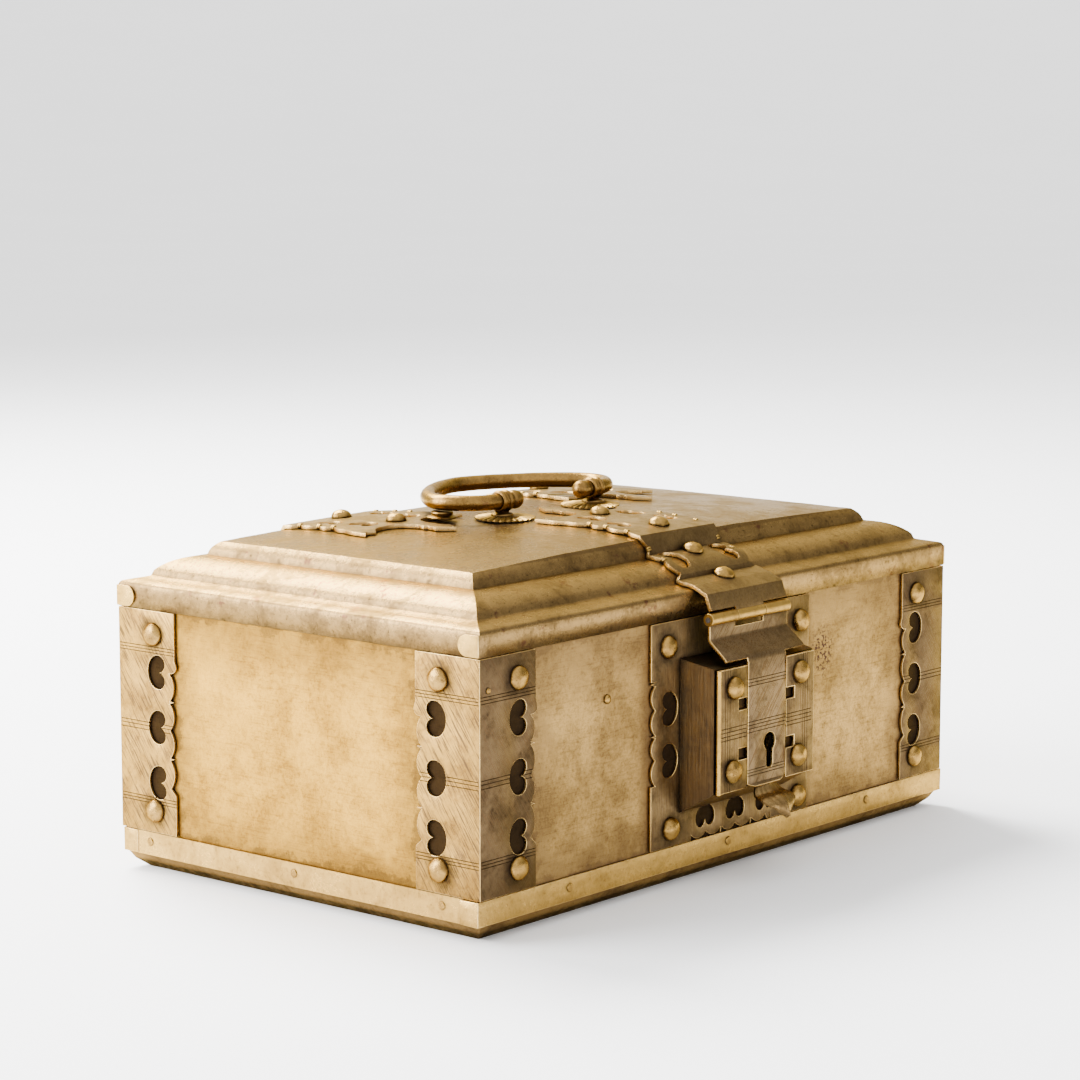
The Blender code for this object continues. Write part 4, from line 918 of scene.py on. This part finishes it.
def offset_section(points, distance):
    """The open line of (inset, height, share) points moved outwards, mitred at each point."""
    moved = []
    for i, (s, z, share) in enumerate(points):
        before = points[max(i - 1, 0)]
        after = points[min(i + 1, len(points) - 1)]
        one = Vector((s - before[0], z - before[1]))
        two = Vector((after[0] - s, after[1] - z))
        one = two if one.length == 0 else one
        two = one if two.length == 0 else two
        normals = [Vector((-way.y, way.x)).normalized() for way in (one, two)]
        mitre = normals[0] + normals[1]
        mitre = mitre / max(mitre.length_squared / 2, 0.6)
        moved.append((s + mitre.x * distance, z + mitre.y * distance, share))
    return moved


def strap_path(start):
    """The inner face of a strap, from its knuckle up over the moulding and along the panel."""
    over = [point for point in LID_SECTION if point[0] > 1.0]
    panel = [(PANEL_INSET + 4.0 * step, PANEL_EDGE_Z, 1.0) for step in range(1, 19)]
    return start + offset_section(over + panel, GAP)


def path_marks(path):
    """The way gone along a path at each of its points."""
    marks = [0.0]
    for start, end in zip(path, path[1:]):
        marks.append(marks[-1] + math.hypot(end[0] - start[0], end[1] - start[1]))
    return marks


def point_at(path, marks, v):
    """The point at way v along a path."""
    for start, end, m0, m1 in zip(path, path[1:], marks, marks[1:]):
        if v <= m1 or m1 == marks[-1]:
            share = (v - m0) / (m1 - m0)
            return [a + (b - a) * share for a, b in zip(start, end)]


def follow(path, v, x, side_y):
    """The point at way v along a strap's path, with the crown of the panel under it added."""
    inset, z, share = point_at(path, path_marks(path), v)
    y = side_y * (HALF_Y - inset)
    return (x, y, z + share * crown(x, y))


def strap_frame(path, way, x, side_y, reach):
    """Two points just before and after a place on a strap, and the way up from the strap there."""
    before, after = (Vector(follow(path, way + step, x, side_y)) for step in (-reach, reach))
    up = (after - before).cross(Vector((1, 0, 0))).normalized()
    return before, after, (-up if up.z < 0 else up)


def way_at(path, inset):
    """The way along the path at which it reaches this inset."""
    marks = path_marks(path)
    for (a, b), (m0, m1) in zip(zip(path, path[1:]), zip(marks, marks[1:])):
        if a[0] <= inset <= b[0]:
            return m0 + (m1 - m0) * (inset - a[0]) / (b[0] - a[0])
    return marks[-1]


def strap_outline(path, foot):
    """Foot points, then a scalloped side, a pair of wings and a spear between them, mirrored."""
    half, notch = STRAP_HALF, STRAP_HALF - 2.4
    stops = [way_at(path, inset) for inset in (10.0, 17.5, 25.5, 35.5, 46.0, 54.0)]
    right = scallops((half, stops[0] - 8.0), [(notch, stop) for stop in stops], -2.2)
    wing, spear = way_at(path, 76.0), way_at(path, 99.0)
    shoulder = way_at(path, 70.0)
    right += lobe((notch, stops[-1]), (25.5, way_at(path, 62.0)), -1.2)
    right += [(27.5, way_at(path, 68.0)), (28.5, wing + 1.0), (25.0, wing - 1.5), (22.0, wing + 0.5)]
    right += lobe((22.0, wing + 0.5), (12.0, shoulder + 2.0), 1.6)
    right += lobe((12.0, shoulder + 2.0), (5.0, shoulder + 6.0), 1.2)
    right += [(3.0, way_at(path, 82.0)), (3.6, way_at(path, 83.5)), (3.6, way_at(path, 85.0))]
    right += [(2.8, way_at(path, 86.5)), (3.4, way_at(path, 89.0)), (4.2, way_at(path, 92.0)), (0.0, spear)]
    left = [(-u, v) for u, v in right[-2::-1]]
    return foot + [(half, stops[0] - 8.0)] + right + left + [(-half, stops[0] - 8.0)]


def strap_holes(path):
    """Kidney-shaped piercings beside the rivets."""
    holes = []
    for low, high, u, size in ((11.5, 23.5, 16.0, 1.0), (40.5, 50.0, 15.0, 0.78), (54.5, 67.5, 12.5, 0.95)):
        middle = (way_at(path, low) + way_at(path, high)) / 2
        holes += [heart(u, middle, 0, size), heart(-u, middle, 180, size)]
    return holes


def edge_rings(name, path, side_y, middle_x):
    """Small turned rings that clasp a strap's edges where its lobes meet."""
    rings = bmesh.new()
    profile = [(0.8, 0.0), (1.2, 0.25), (1.2, 0.75), (0.85, 0.95), (1.2, 1.15), (1.2, 1.6), (0.8, 1.8)]
    for inset, half in ((17.5, 22.1), (25.5, 22.1), (35.5, 22.1), (46.0, 22.1), (54.0, 22.4)):
        way = way_at(path, inset)
        for side in (-1, 1):
            before, after, up = strap_frame(path, way, middle_x + side * half, side_y, 0.9)
            turned(profile, 14, facing(before + up * 0.85, after - before), rings)
    piece(f"{name}_edge_rings", rings, "lap", "lid")


def strap_rivets(name, path, side_y, middle_x, stands_for=()):
    heads = bmesh.new()
    for inset in (4.9, 20.2, 37.0, 67.0):
        before, after, up = strap_frame(path, way_at(path, inset), middle_x, side_y, 0.5)
        dome(heads, (before + after) / 2 + up * (STRAP_EDGE - SUNK), up, 4.2, 3.4)
    piece(f"{name}_rivets", heads, "bright", "lid", stands_for)


def barrels(name, axis, radius, spans, look, body):
    """Knuckles of a hinge about an axis at (y, z), from x to x, their ends slightly rounded."""
    bm = bmesh.new()
    for x0, x1 in spans:
        long = x1 - x0
        place = Matrix.Translation((x0, *axis)) @ Matrix.Rotation(math.pi / 2, 4, "Y")
        profile = [(radius - 0.25, 0), (radius, 0.25), (radius, long - 0.25), (radius - 0.25, long)]
        turned(profile, 28, place, bm)
    piece(name, bm, look, body)


def lid_strap(name, path, foot, side, middle_x, knuckles, nodes, rivet_nodes=()):
    """One strap over the lid with its rings, knuckles and rivets."""
    bm = bent_sheet(
        strap_outline(path, foot),
        strap_holes(path),
        (-18.0, -12.0, -6.0, 0.0, 6.0, 12.0, 18.0),
        path_marks(path)[1:-1],
        lambda u, v: follow(path, v, middle_x + u, side),
        (0, side, 2),
    )
    part = piece(name, bm, "lock", "lid", nodes, sharp=24.0)
    thicken(part, STRAP_EDGE)
    # The low angle puts the brighter edge metal on the strap's folds as well: partly a painted highlight.
    soften(part, 0.5, 3, angle=26.0)
    edge_rings(name, path, side, middle_x)
    barrels(*knuckles, "lid")
    strap_rivets(name, path, side, middle_x, rivet_nodes)


def front_strap():
    """The front strap, whose middle knuckle carries the hasp."""
    path = strap_path([(-6.9, 104.6, 0.0), (-6.6, 106.6, 0.0), (-4.5, 112.1, 0.0), (0.75, 114.6, 0.0)])
    knuckle = KNUCKLE_SPLIT - GAP / 2
    step = path_marks(path)[1]
    foot = [(-STRAP_HALF, step), (-knuckle, step), (-knuckle, 0.0)]
    foot += [(knuckle, 0.0), (knuckle, step), (STRAP_HALF, step)]
    rivets = tuple(f"front_strap_rivet_{number}" for number in range(1, 5))
    knuckles = ("hasp_strap_knuckle", HASP_AXIS, 2.5, ((-knuckle, knuckle),), "lap")
    lid_strap("hasp_strap", path, foot, -1, 0.0, knuckles, ("front_strap",), rivets)


def rear_straps():
    """The two rear straps that the lid is hinged by, and the rivets of the leaves on the back wall."""
    foot_z = SEAM + 0.4
    path = strap_path([(-GAP, foot_z, 0.0), (-GAP, 113.2, 0.0)])
    clear = SEAM + 3.0 + 2 * GAP - foot_z
    knuckle = KNUCKLE_SPLIT + GAP / 2
    foot = [(-STRAP_HALF, 0.0), (-knuckle, 0.0), (-knuckle, clear)]
    foot += [(knuckle, clear), (knuckle, 0.0), (STRAP_HALF, 0.0)]
    ends = ((-KNUCKLE_HALF, -knuckle), (knuckle, KNUCKLE_HALF))
    for name, side in X_SIDES:
        middle_x = side * REAR_STRAP_X
        spans = [(middle_x + x0, middle_x + x1) for x0, x1 in ends]
        knuckles = (f"hinge_knuckles_{name}", LID_AXIS, 3.0, spans, "lock")
        lid_strap(f"hinge_strap_{name}", path, foot, 1, middle_x, knuckles, (f"rear_strap_{name}",))
        heads = bmesh.new()
        for x, z in ((-16.0, 90.0), (16.0, 90.0), (0.0, 78.0)):
            dome(heads, (middle_x + x, HALF_Y - SUNK, z), (0, 1, 0))
        piece(f"hinge_leaf_rivets_{name}", heads, "bright", "casket")


def hasp():
    """The hasp: knuckles, the leaf that slopes out over the lock case, and the engraved tongue."""
    in_y = HASP_AXIS[0] + 0.5
    flush = GUIDE_Y
    path = [(in_y, 103.4), (in_y, 96.2), (in_y - 0.2, 95.2), (in_y - 0.9, 94.2)]
    path += [(flush + 1.2, 88.6), (flush + 0.3, 87.6), (flush, 86.4), (flush, 38.2), (flush - 1.2, 36.6)]
    marks = path_marks(path)
    knuckle = KNUCKLE_SPLIT + GAP / 2
    wide, below = KNUCKLE_HALF - 0.3, 4.1
    slope_end, tongue_end = marks[5], marks[-1]
    half = 12.3
    right = [(knuckle, below), (knuckle, 0.0), (wide, 0.0), (wide, marks[2]), (wide + 0.4, slope_end)]
    right += [(half, slope_end), (half, marks[7] - 0.5), (8.0, tongue_end)]
    outline = right + [(-u, v) for u, v in reversed(right)]
    hole = [(x, marks[6] + path[6][1] - z) for x, z in keyhole()]
    bm = bent_sheet(outline, [hole], (), marks[1:-1], lambda u, v: (u, *point_at(path, marks, v)), (0, -1, 0))
    part = piece("hasp_leaf", bm, "tongue", "hasp", ("hasp",))
    thicken(part, LEAF)
    lines = bmesh.new()
    face = flush - LEAF
    for z in (79.6, 78.3, 77.0, 62.9, 61.6, 60.2, 58.8, 44.0, 42.9, 41.7):
        groove(lines, (-half - 1, face, z), (half + 1, face, z), (0, -1, 0))
    soften(part, 0.3)
    carve(part, lines)
    ends = ((-KNUCKLE_HALF, -knuckle), (knuckle, KNUCKLE_HALF))
    barrels("hasp_knuckles", HASP_AXIS, 2.5, ends, "lap", "hasp")


def smooth_point(spine, share):
    """The point at a share of a smooth curve through all points of the spine."""
    at = share * (len(spine) - 1)
    k = min(int(at), len(spine) - 2)
    t = at - k
    p0, p1 = spine[max(k - 1, 0)], spine[k]
    p2, p3 = spine[k + 1], spine[min(k + 2, len(spine) - 1)]
    bend = (2 * p0 - 5 * p1 + 4 * p2 - p3) * t**2 + (3 * p1 - p0 - 3 * p2 + p3) * t**3
    return 0.5 * (2 * p1 + (p2 - p0) * t + bend)


def hasp_pull():
    """The veined leaf that the hasp is lifted by, curling out below the tongue."""
    rows, columns = 26, 42
    spine = ((-110.9, 38.0), (-112.6, 34.4), (-116.6, 32.9), (-119.6, 30.2), (-121.2, 25.4))
    spine = [Vector(point) for point in spine]
    bm = bmesh.new()
    layers = []
    for layer in (0.0, 1.0):
        grid = []
        for i in range(rows + 1):
            share = i / rows
            middle = smooth_point(spine, share)
            half = 5.2 + 4.7 * math.sin(math.pi * min(share / 0.95, 1.0)) ** 0.8
            half *= 1.0 - max(share - 0.62, 0.0) ** 1.5 * 4.27
            half = max(half, 0.35)
            row = []
            for j in range(columns + 1):
                across = -1 + 2 * j / columns
                x = 0.6 + across * half + 1.2 * share
                vein = 0.15 * abs(math.sin(math.pi * across * 3.5)) ** 0.7
                vein *= math.sin(math.pi * min(share + 0.1, 1.0))
                ridge = 0.3 * math.exp(-((across * 6) ** 2))
                fall = 1.5 * across**2
                lift = (vein + ridge - fall) if layer else (-1.0 - fall)
                row.append(bm.verts.new((x, middle.x - lift * 0.75, middle.y + lift * 0.5)))
            grid.append(row)
        layers.append(grid)
    for grid in layers:
        for a, b in zip(grid, grid[1:]):
            for j in range(columns):
                bm.faces.new((a[j], a[j + 1], b[j + 1], b[j]))
    low, high = layers
    border = [(i, 0) for i in range(rows + 1)] + [(rows, j) for j in range(1, columns + 1)]
    border += [(i, columns) for i in range(rows - 1, -1, -1)] + [(0, j) for j in range(columns - 1, 0, -1)]
    for (i, j), (m, n) in zip(border, border[1:] + border[:1]):
        bm.faces.new((low[i][j], low[m][n], high[m][n], high[i][j]))
    bmesh.ops.recalc_face_normals(bm, faces=bm.faces)
    piece("hasp_leaf_pull", bm, "pull", "hasp", sharp=60.0)


# --- handle ---


def bail_line(count):
    """Half the bail from its ball end to the middle of its bar, as (x, y)."""
    straight, half, widest = POST_X + 3.8, 48.0, 16.0
    line = [(21.3, 0.0), (straight, 0.0)]
    for i in range(1, count):
        turn = math.pi / 2 * i / count
        out, back = math.sin(turn) ** 1.1, 1 - math.cos(turn) ** 1.1
        line.append((straight + (half - straight) * out, widest * back))
    for i in range(count + 1):
        turn = math.pi / 2 * i / (count + 1)
        across, back = math.cos(turn) ** 1.3, math.sin(turn) ** 1.3
        line.append((half * across, widest + (BAIL_REACH - widest) * back))
    return line + [(0.0, BAIL_REACH)]


def bail():
    """The swinging handle: a forged rod of slightly uneven thickness, with balls on its turned-in ends."""
    half = bail_line(14)
    line = half + [(-x, y) for x, y in half[-2::-1]]
    bm = bmesh.new()
    sides = 20
    rings = []
    for i, (x, y) in enumerate(line):
        before, after = Vector(line[max(i - 1, 0)]), Vector(line[min(i + 1, len(line) - 1)])
        way = (after - before).normalized()
        side = Vector((way.y, -way.x))
        ring = []
        for k in range(sides):
            angle = 2 * math.pi * k / sides
            size = BAIL_ROD * (1 + 0.035 * noise.noise(Vector((x, y, 8 * math.cos(angle))) / 9.0) - 0.02)
            out = side * size * math.cos(angle)
            ring.append(bm.verts.new((x + out.x, y + out.y, BAIL_Z + size * math.sin(angle))))
        rings.append(ring)
    for one, two in zip(rings, rings[1:]):
        join_rings(bm, one, two)
    bm.faces.new(rings[0])
    bm.faces.new(rings[-1])
    for side in (-1, 1):
        place = Matrix.Translation((side * 21.3, 0, BAIL_Z)) @ Matrix.Rotation(math.pi / 2 * side, 4, "Y")
        profile = [(2.6, 3.4), (3.4, 2.6), (3.75, 1.5), (3.85, 0.3)]
        turns = [math.radians(degrees) for degrees in (15, 32, 50, 68)]
        profile += [(3.85 * math.cos(turn), -3.9 * math.sin(turn)) for turn in turns]
        profile += [(0, -3.95)]
        turned(profile[::-1], 24, place, bm)
    bmesh.ops.recalc_face_normals(bm, faces=bm.faces)
    piece("bail", bm, "bail", "handle", ("bail_handle",), sharp=60.0)


def rosette(name):
    """A fluted rosette under the foot of a post."""
    flutes = 26
    foot, top = cad_box(f"rosette_{name}")
    middle_x = (foot.x + top.x) / 2
    place = Matrix.Translation((middle_x, 0, foot.z))
    profile = [(12.2, 0.0), (12.2, 0.75)]
    profile += [(12.2 - 1.0 * k, 0.75 + 0.6 * math.sin(math.radians(15 * k))) for k in range(1, 7)]
    profile += [(5.6, 1.25), (5.0, 1.4), (0, 1.4)]
    share = lambda angle, radius: 1 - 0.07 * (1 - abs(math.sin(flutes * angle / 2))) * min(radius / 11, 1)
    bm = turned(profile, flutes * 6, place, shape=share)
    for vert in bm.verts:
        flat = Vector((vert.co.x - middle_x, vert.co.y))
        if 5.8 < flat.length < 12.4 and vert.co.z > foot.z + 0.3:
            groove_share = 1 - abs(math.sin(flutes * math.atan2(flat.y, flat.x) / 2))
            vert.co.z = max(vert.co.z - 0.95 * groove_share * (flat.length - 5.0) / 6.4, foot.z + 0.1)
    piece(f"fluted_rosette_{name}", bm, "lap", "lid", (f"rosette_{name}",), 50.0)


def ringed_eye(name, x):
    """The eye that the bail turns in, on a baluster stem."""
    bm = bmesh.new()
    place = Matrix.Translation((x - 3.0, 0, BAIL_Z)) @ Matrix.Rotation(math.pi / 2, 4, "Y")
    inside = 3.35
    outside = [(3.7, 0.0), (4.15, 0.25), (4.4, 0.8), (4.45, 1.2)]
    outside += [(4.2, 1.75), (3.85, 2.1), (4.0, 2.6), (4.1, 3.0)]
    outside += [(radius, 6.0 - height) for radius, height in outside[-2::-1]]
    loop = [(inside, 0.0), *outside, (inside, 6.0)]
    rings = []
    for radius, height in loop:
        rings.append([bm.verts.new(place @ spot) for spot in round_ring(radius, height, 32)])
    for one, two in zip(rings, rings[1:] + rings[:1]):
        join_rings(bm, one, two)
    bmesh.ops.recalc_face_normals(bm, faces=bm.faces)
    base = cad_box(f"handle_post_{name}")[0].z
    stem = [(4.6, 0.0), (4.6, 0.35), (4.2, 0.75), (3.0, 1.0), (2.7, 1.3), (3.0, 1.9)]
    stem += [(2.7, BAIL_Z - 3.7 - base)]
    turned(stem, 24, Matrix.Translation((x, 0, base)), bm)
    piece(f"ringed_eye_{name}", bm, "bail", "lid", (f"handle_post_{name}",), 45.0)


def rest_button(name):
    """A button that the bail lies on."""
    low, high = cad_box(f"rest_stud_{name}")
    spot = Matrix.Translation(((low.x + high.x) / 2, (low.y + high.y) / 2, low.z))
    rise, radius = high.z - low.z, (high.x - low.x) / 2
    profile = [(radius - 0.2, 0.0), (radius, 0.2), (radius, 0.55), (radius - 0.7, 0.9), (4.7, 1.1), (4.3, 1.3)]
    profile += [(4.5, rise - 0.8), (4.3, rise - 0.3), (3.6, rise), (0, rise)]
    bm = turned(profile, 32, spot)
    piece(f"rest_button_{name}", bm, "bail", "lid", (f"rest_stud_{name}",))


def handle_mounts():
    for name, side in X_SIDES:
        rosette(name)
        ringed_eye(name, side * POST_X)
        rest_button(name)


# --- studio ---

WHITE = (1.0, 1.0, 1.0, 1.0)
ROOM, ROOM_DIM = 2.3, 0.75  # brightness of the white room, and of its dim side
LAMPS = (  # name, place and diameter in metres, watts
    ("key", (-1.25, 1.05, 0.75), 1.5, 100.0),
    ("top", (0.25, 1.15, 1.35), 1.1, 150.0),
)
BACKDROP = ((6.0, 0.0), (7.0, 0.02), (8.0, 0.09), (9.0, 0.22), (10.0, 0.42), (11.0, 0.7), (12.0, 1.1))
BACKDROP_SIDES = 96


def studio():
    """A pale floor whose far rim rises into a backdrop, a white room, and soft lamps from the left and above.

    BACKDROP is the floor's radius and rise, in metres.
    """
    bm = bmesh.new()
    rings = []
    for radius, rise in BACKDROP:
        rings.append([bm.verts.new(spot) for spot in round_ring(radius, rise, BACKDROP_SIDES)])
    bm.faces.new(rings[0])
    for low, high in zip(rings, rings[1:]):
        join_rings(bm, high, low)
    for face in bm.faces:
        face.smooth = True
    mesh = bpy.data.meshes.new("floor")
    bm.to_mesh(mesh)
    bm.free()
    floor = bpy.data.objects.new("floor", mesh)
    bpy.context.scene.collection.objects.link(floor)
    look = Look("pale_floor", 0.9, 0.0)
    shade = look.blend(look.span(look.noise(400.0), 0.3, 0.7), (0.97, 0.97, 0.97), (0.95, 0.95, 0.95))
    mesh.materials.append(look.done(shade))

    world = bpy.data.worlds.new("white_room")
    bpy.context.scene.world = world
    world.use_nodes = True
    tree = world.node_tree
    way = tree.nodes.new("ShaderNodeTexCoord").outputs["Generated"]
    toward = tree.nodes.new("ShaderNodeVectorMath")
    toward.operation = "DOT_PRODUCT"
    toward.inputs[1].default_value = (0.87, -0.5, 0.0)
    tree.links.new(way, toward.inputs[0])
    fall = tree.nodes.new("ShaderNodeMapRange")
    fall.interpolation_type = "SMOOTHSTEP"
    for socket, value in (("From Min", 0.35), ("From Max", 0.85), ("To Min", ROOM), ("To Max", ROOM_DIM)):
        fall.inputs[socket].default_value = value
    tree.links.new(toward.outputs["Value"], fall.inputs["Value"])
    tree.links.new(fall.outputs[0], tree.nodes["Background"].inputs["Strength"])
    tree.nodes["Background"].inputs["Color"].default_value = WHITE

    for name, at, size, power in LAMPS:
        lamp = bpy.data.lights.new(name, "AREA")
        lamp.shape = "DISK"
        lamp.size = size
        lamp.energy = power
        made = bpy.data.objects.new(name, lamp)
        made.location = at
        made.rotation_euler = (-Vector(at) + Vector((0, 0, 0.07))).to_track_quat("-Z", "Y").to_euler()
        bpy.context.scene.collection.objects.link(made)


def camera():
    """The viewpoint: off the front left corner and looking slightly down, on a long lens."""
    lens = bpy.data.cameras.new("view")
    lens.sensor_width = 36.0
    lens.lens = 104.55
    made = bpy.data.objects.new("view", lens)
    made.location = (-0.972, -0.8142, 0.2990)
    heading, down = math.radians(49.897), math.radians(7.914)
    made.rotation_euler = (math.pi / 2 - down, 0.0, -heading)
    bpy.context.scene.collection.objects.link(made)
    bpy.context.scene.camera = made


camera()
studio()
walls_and_base()
base_bands()
corner_straps()
lock_plate()
lock_guides()
lock_rivets()
lid()
lid_tabs()
front_strap()
rear_straps()
hasp()
hasp_pull()
bail()
handle_mounts()
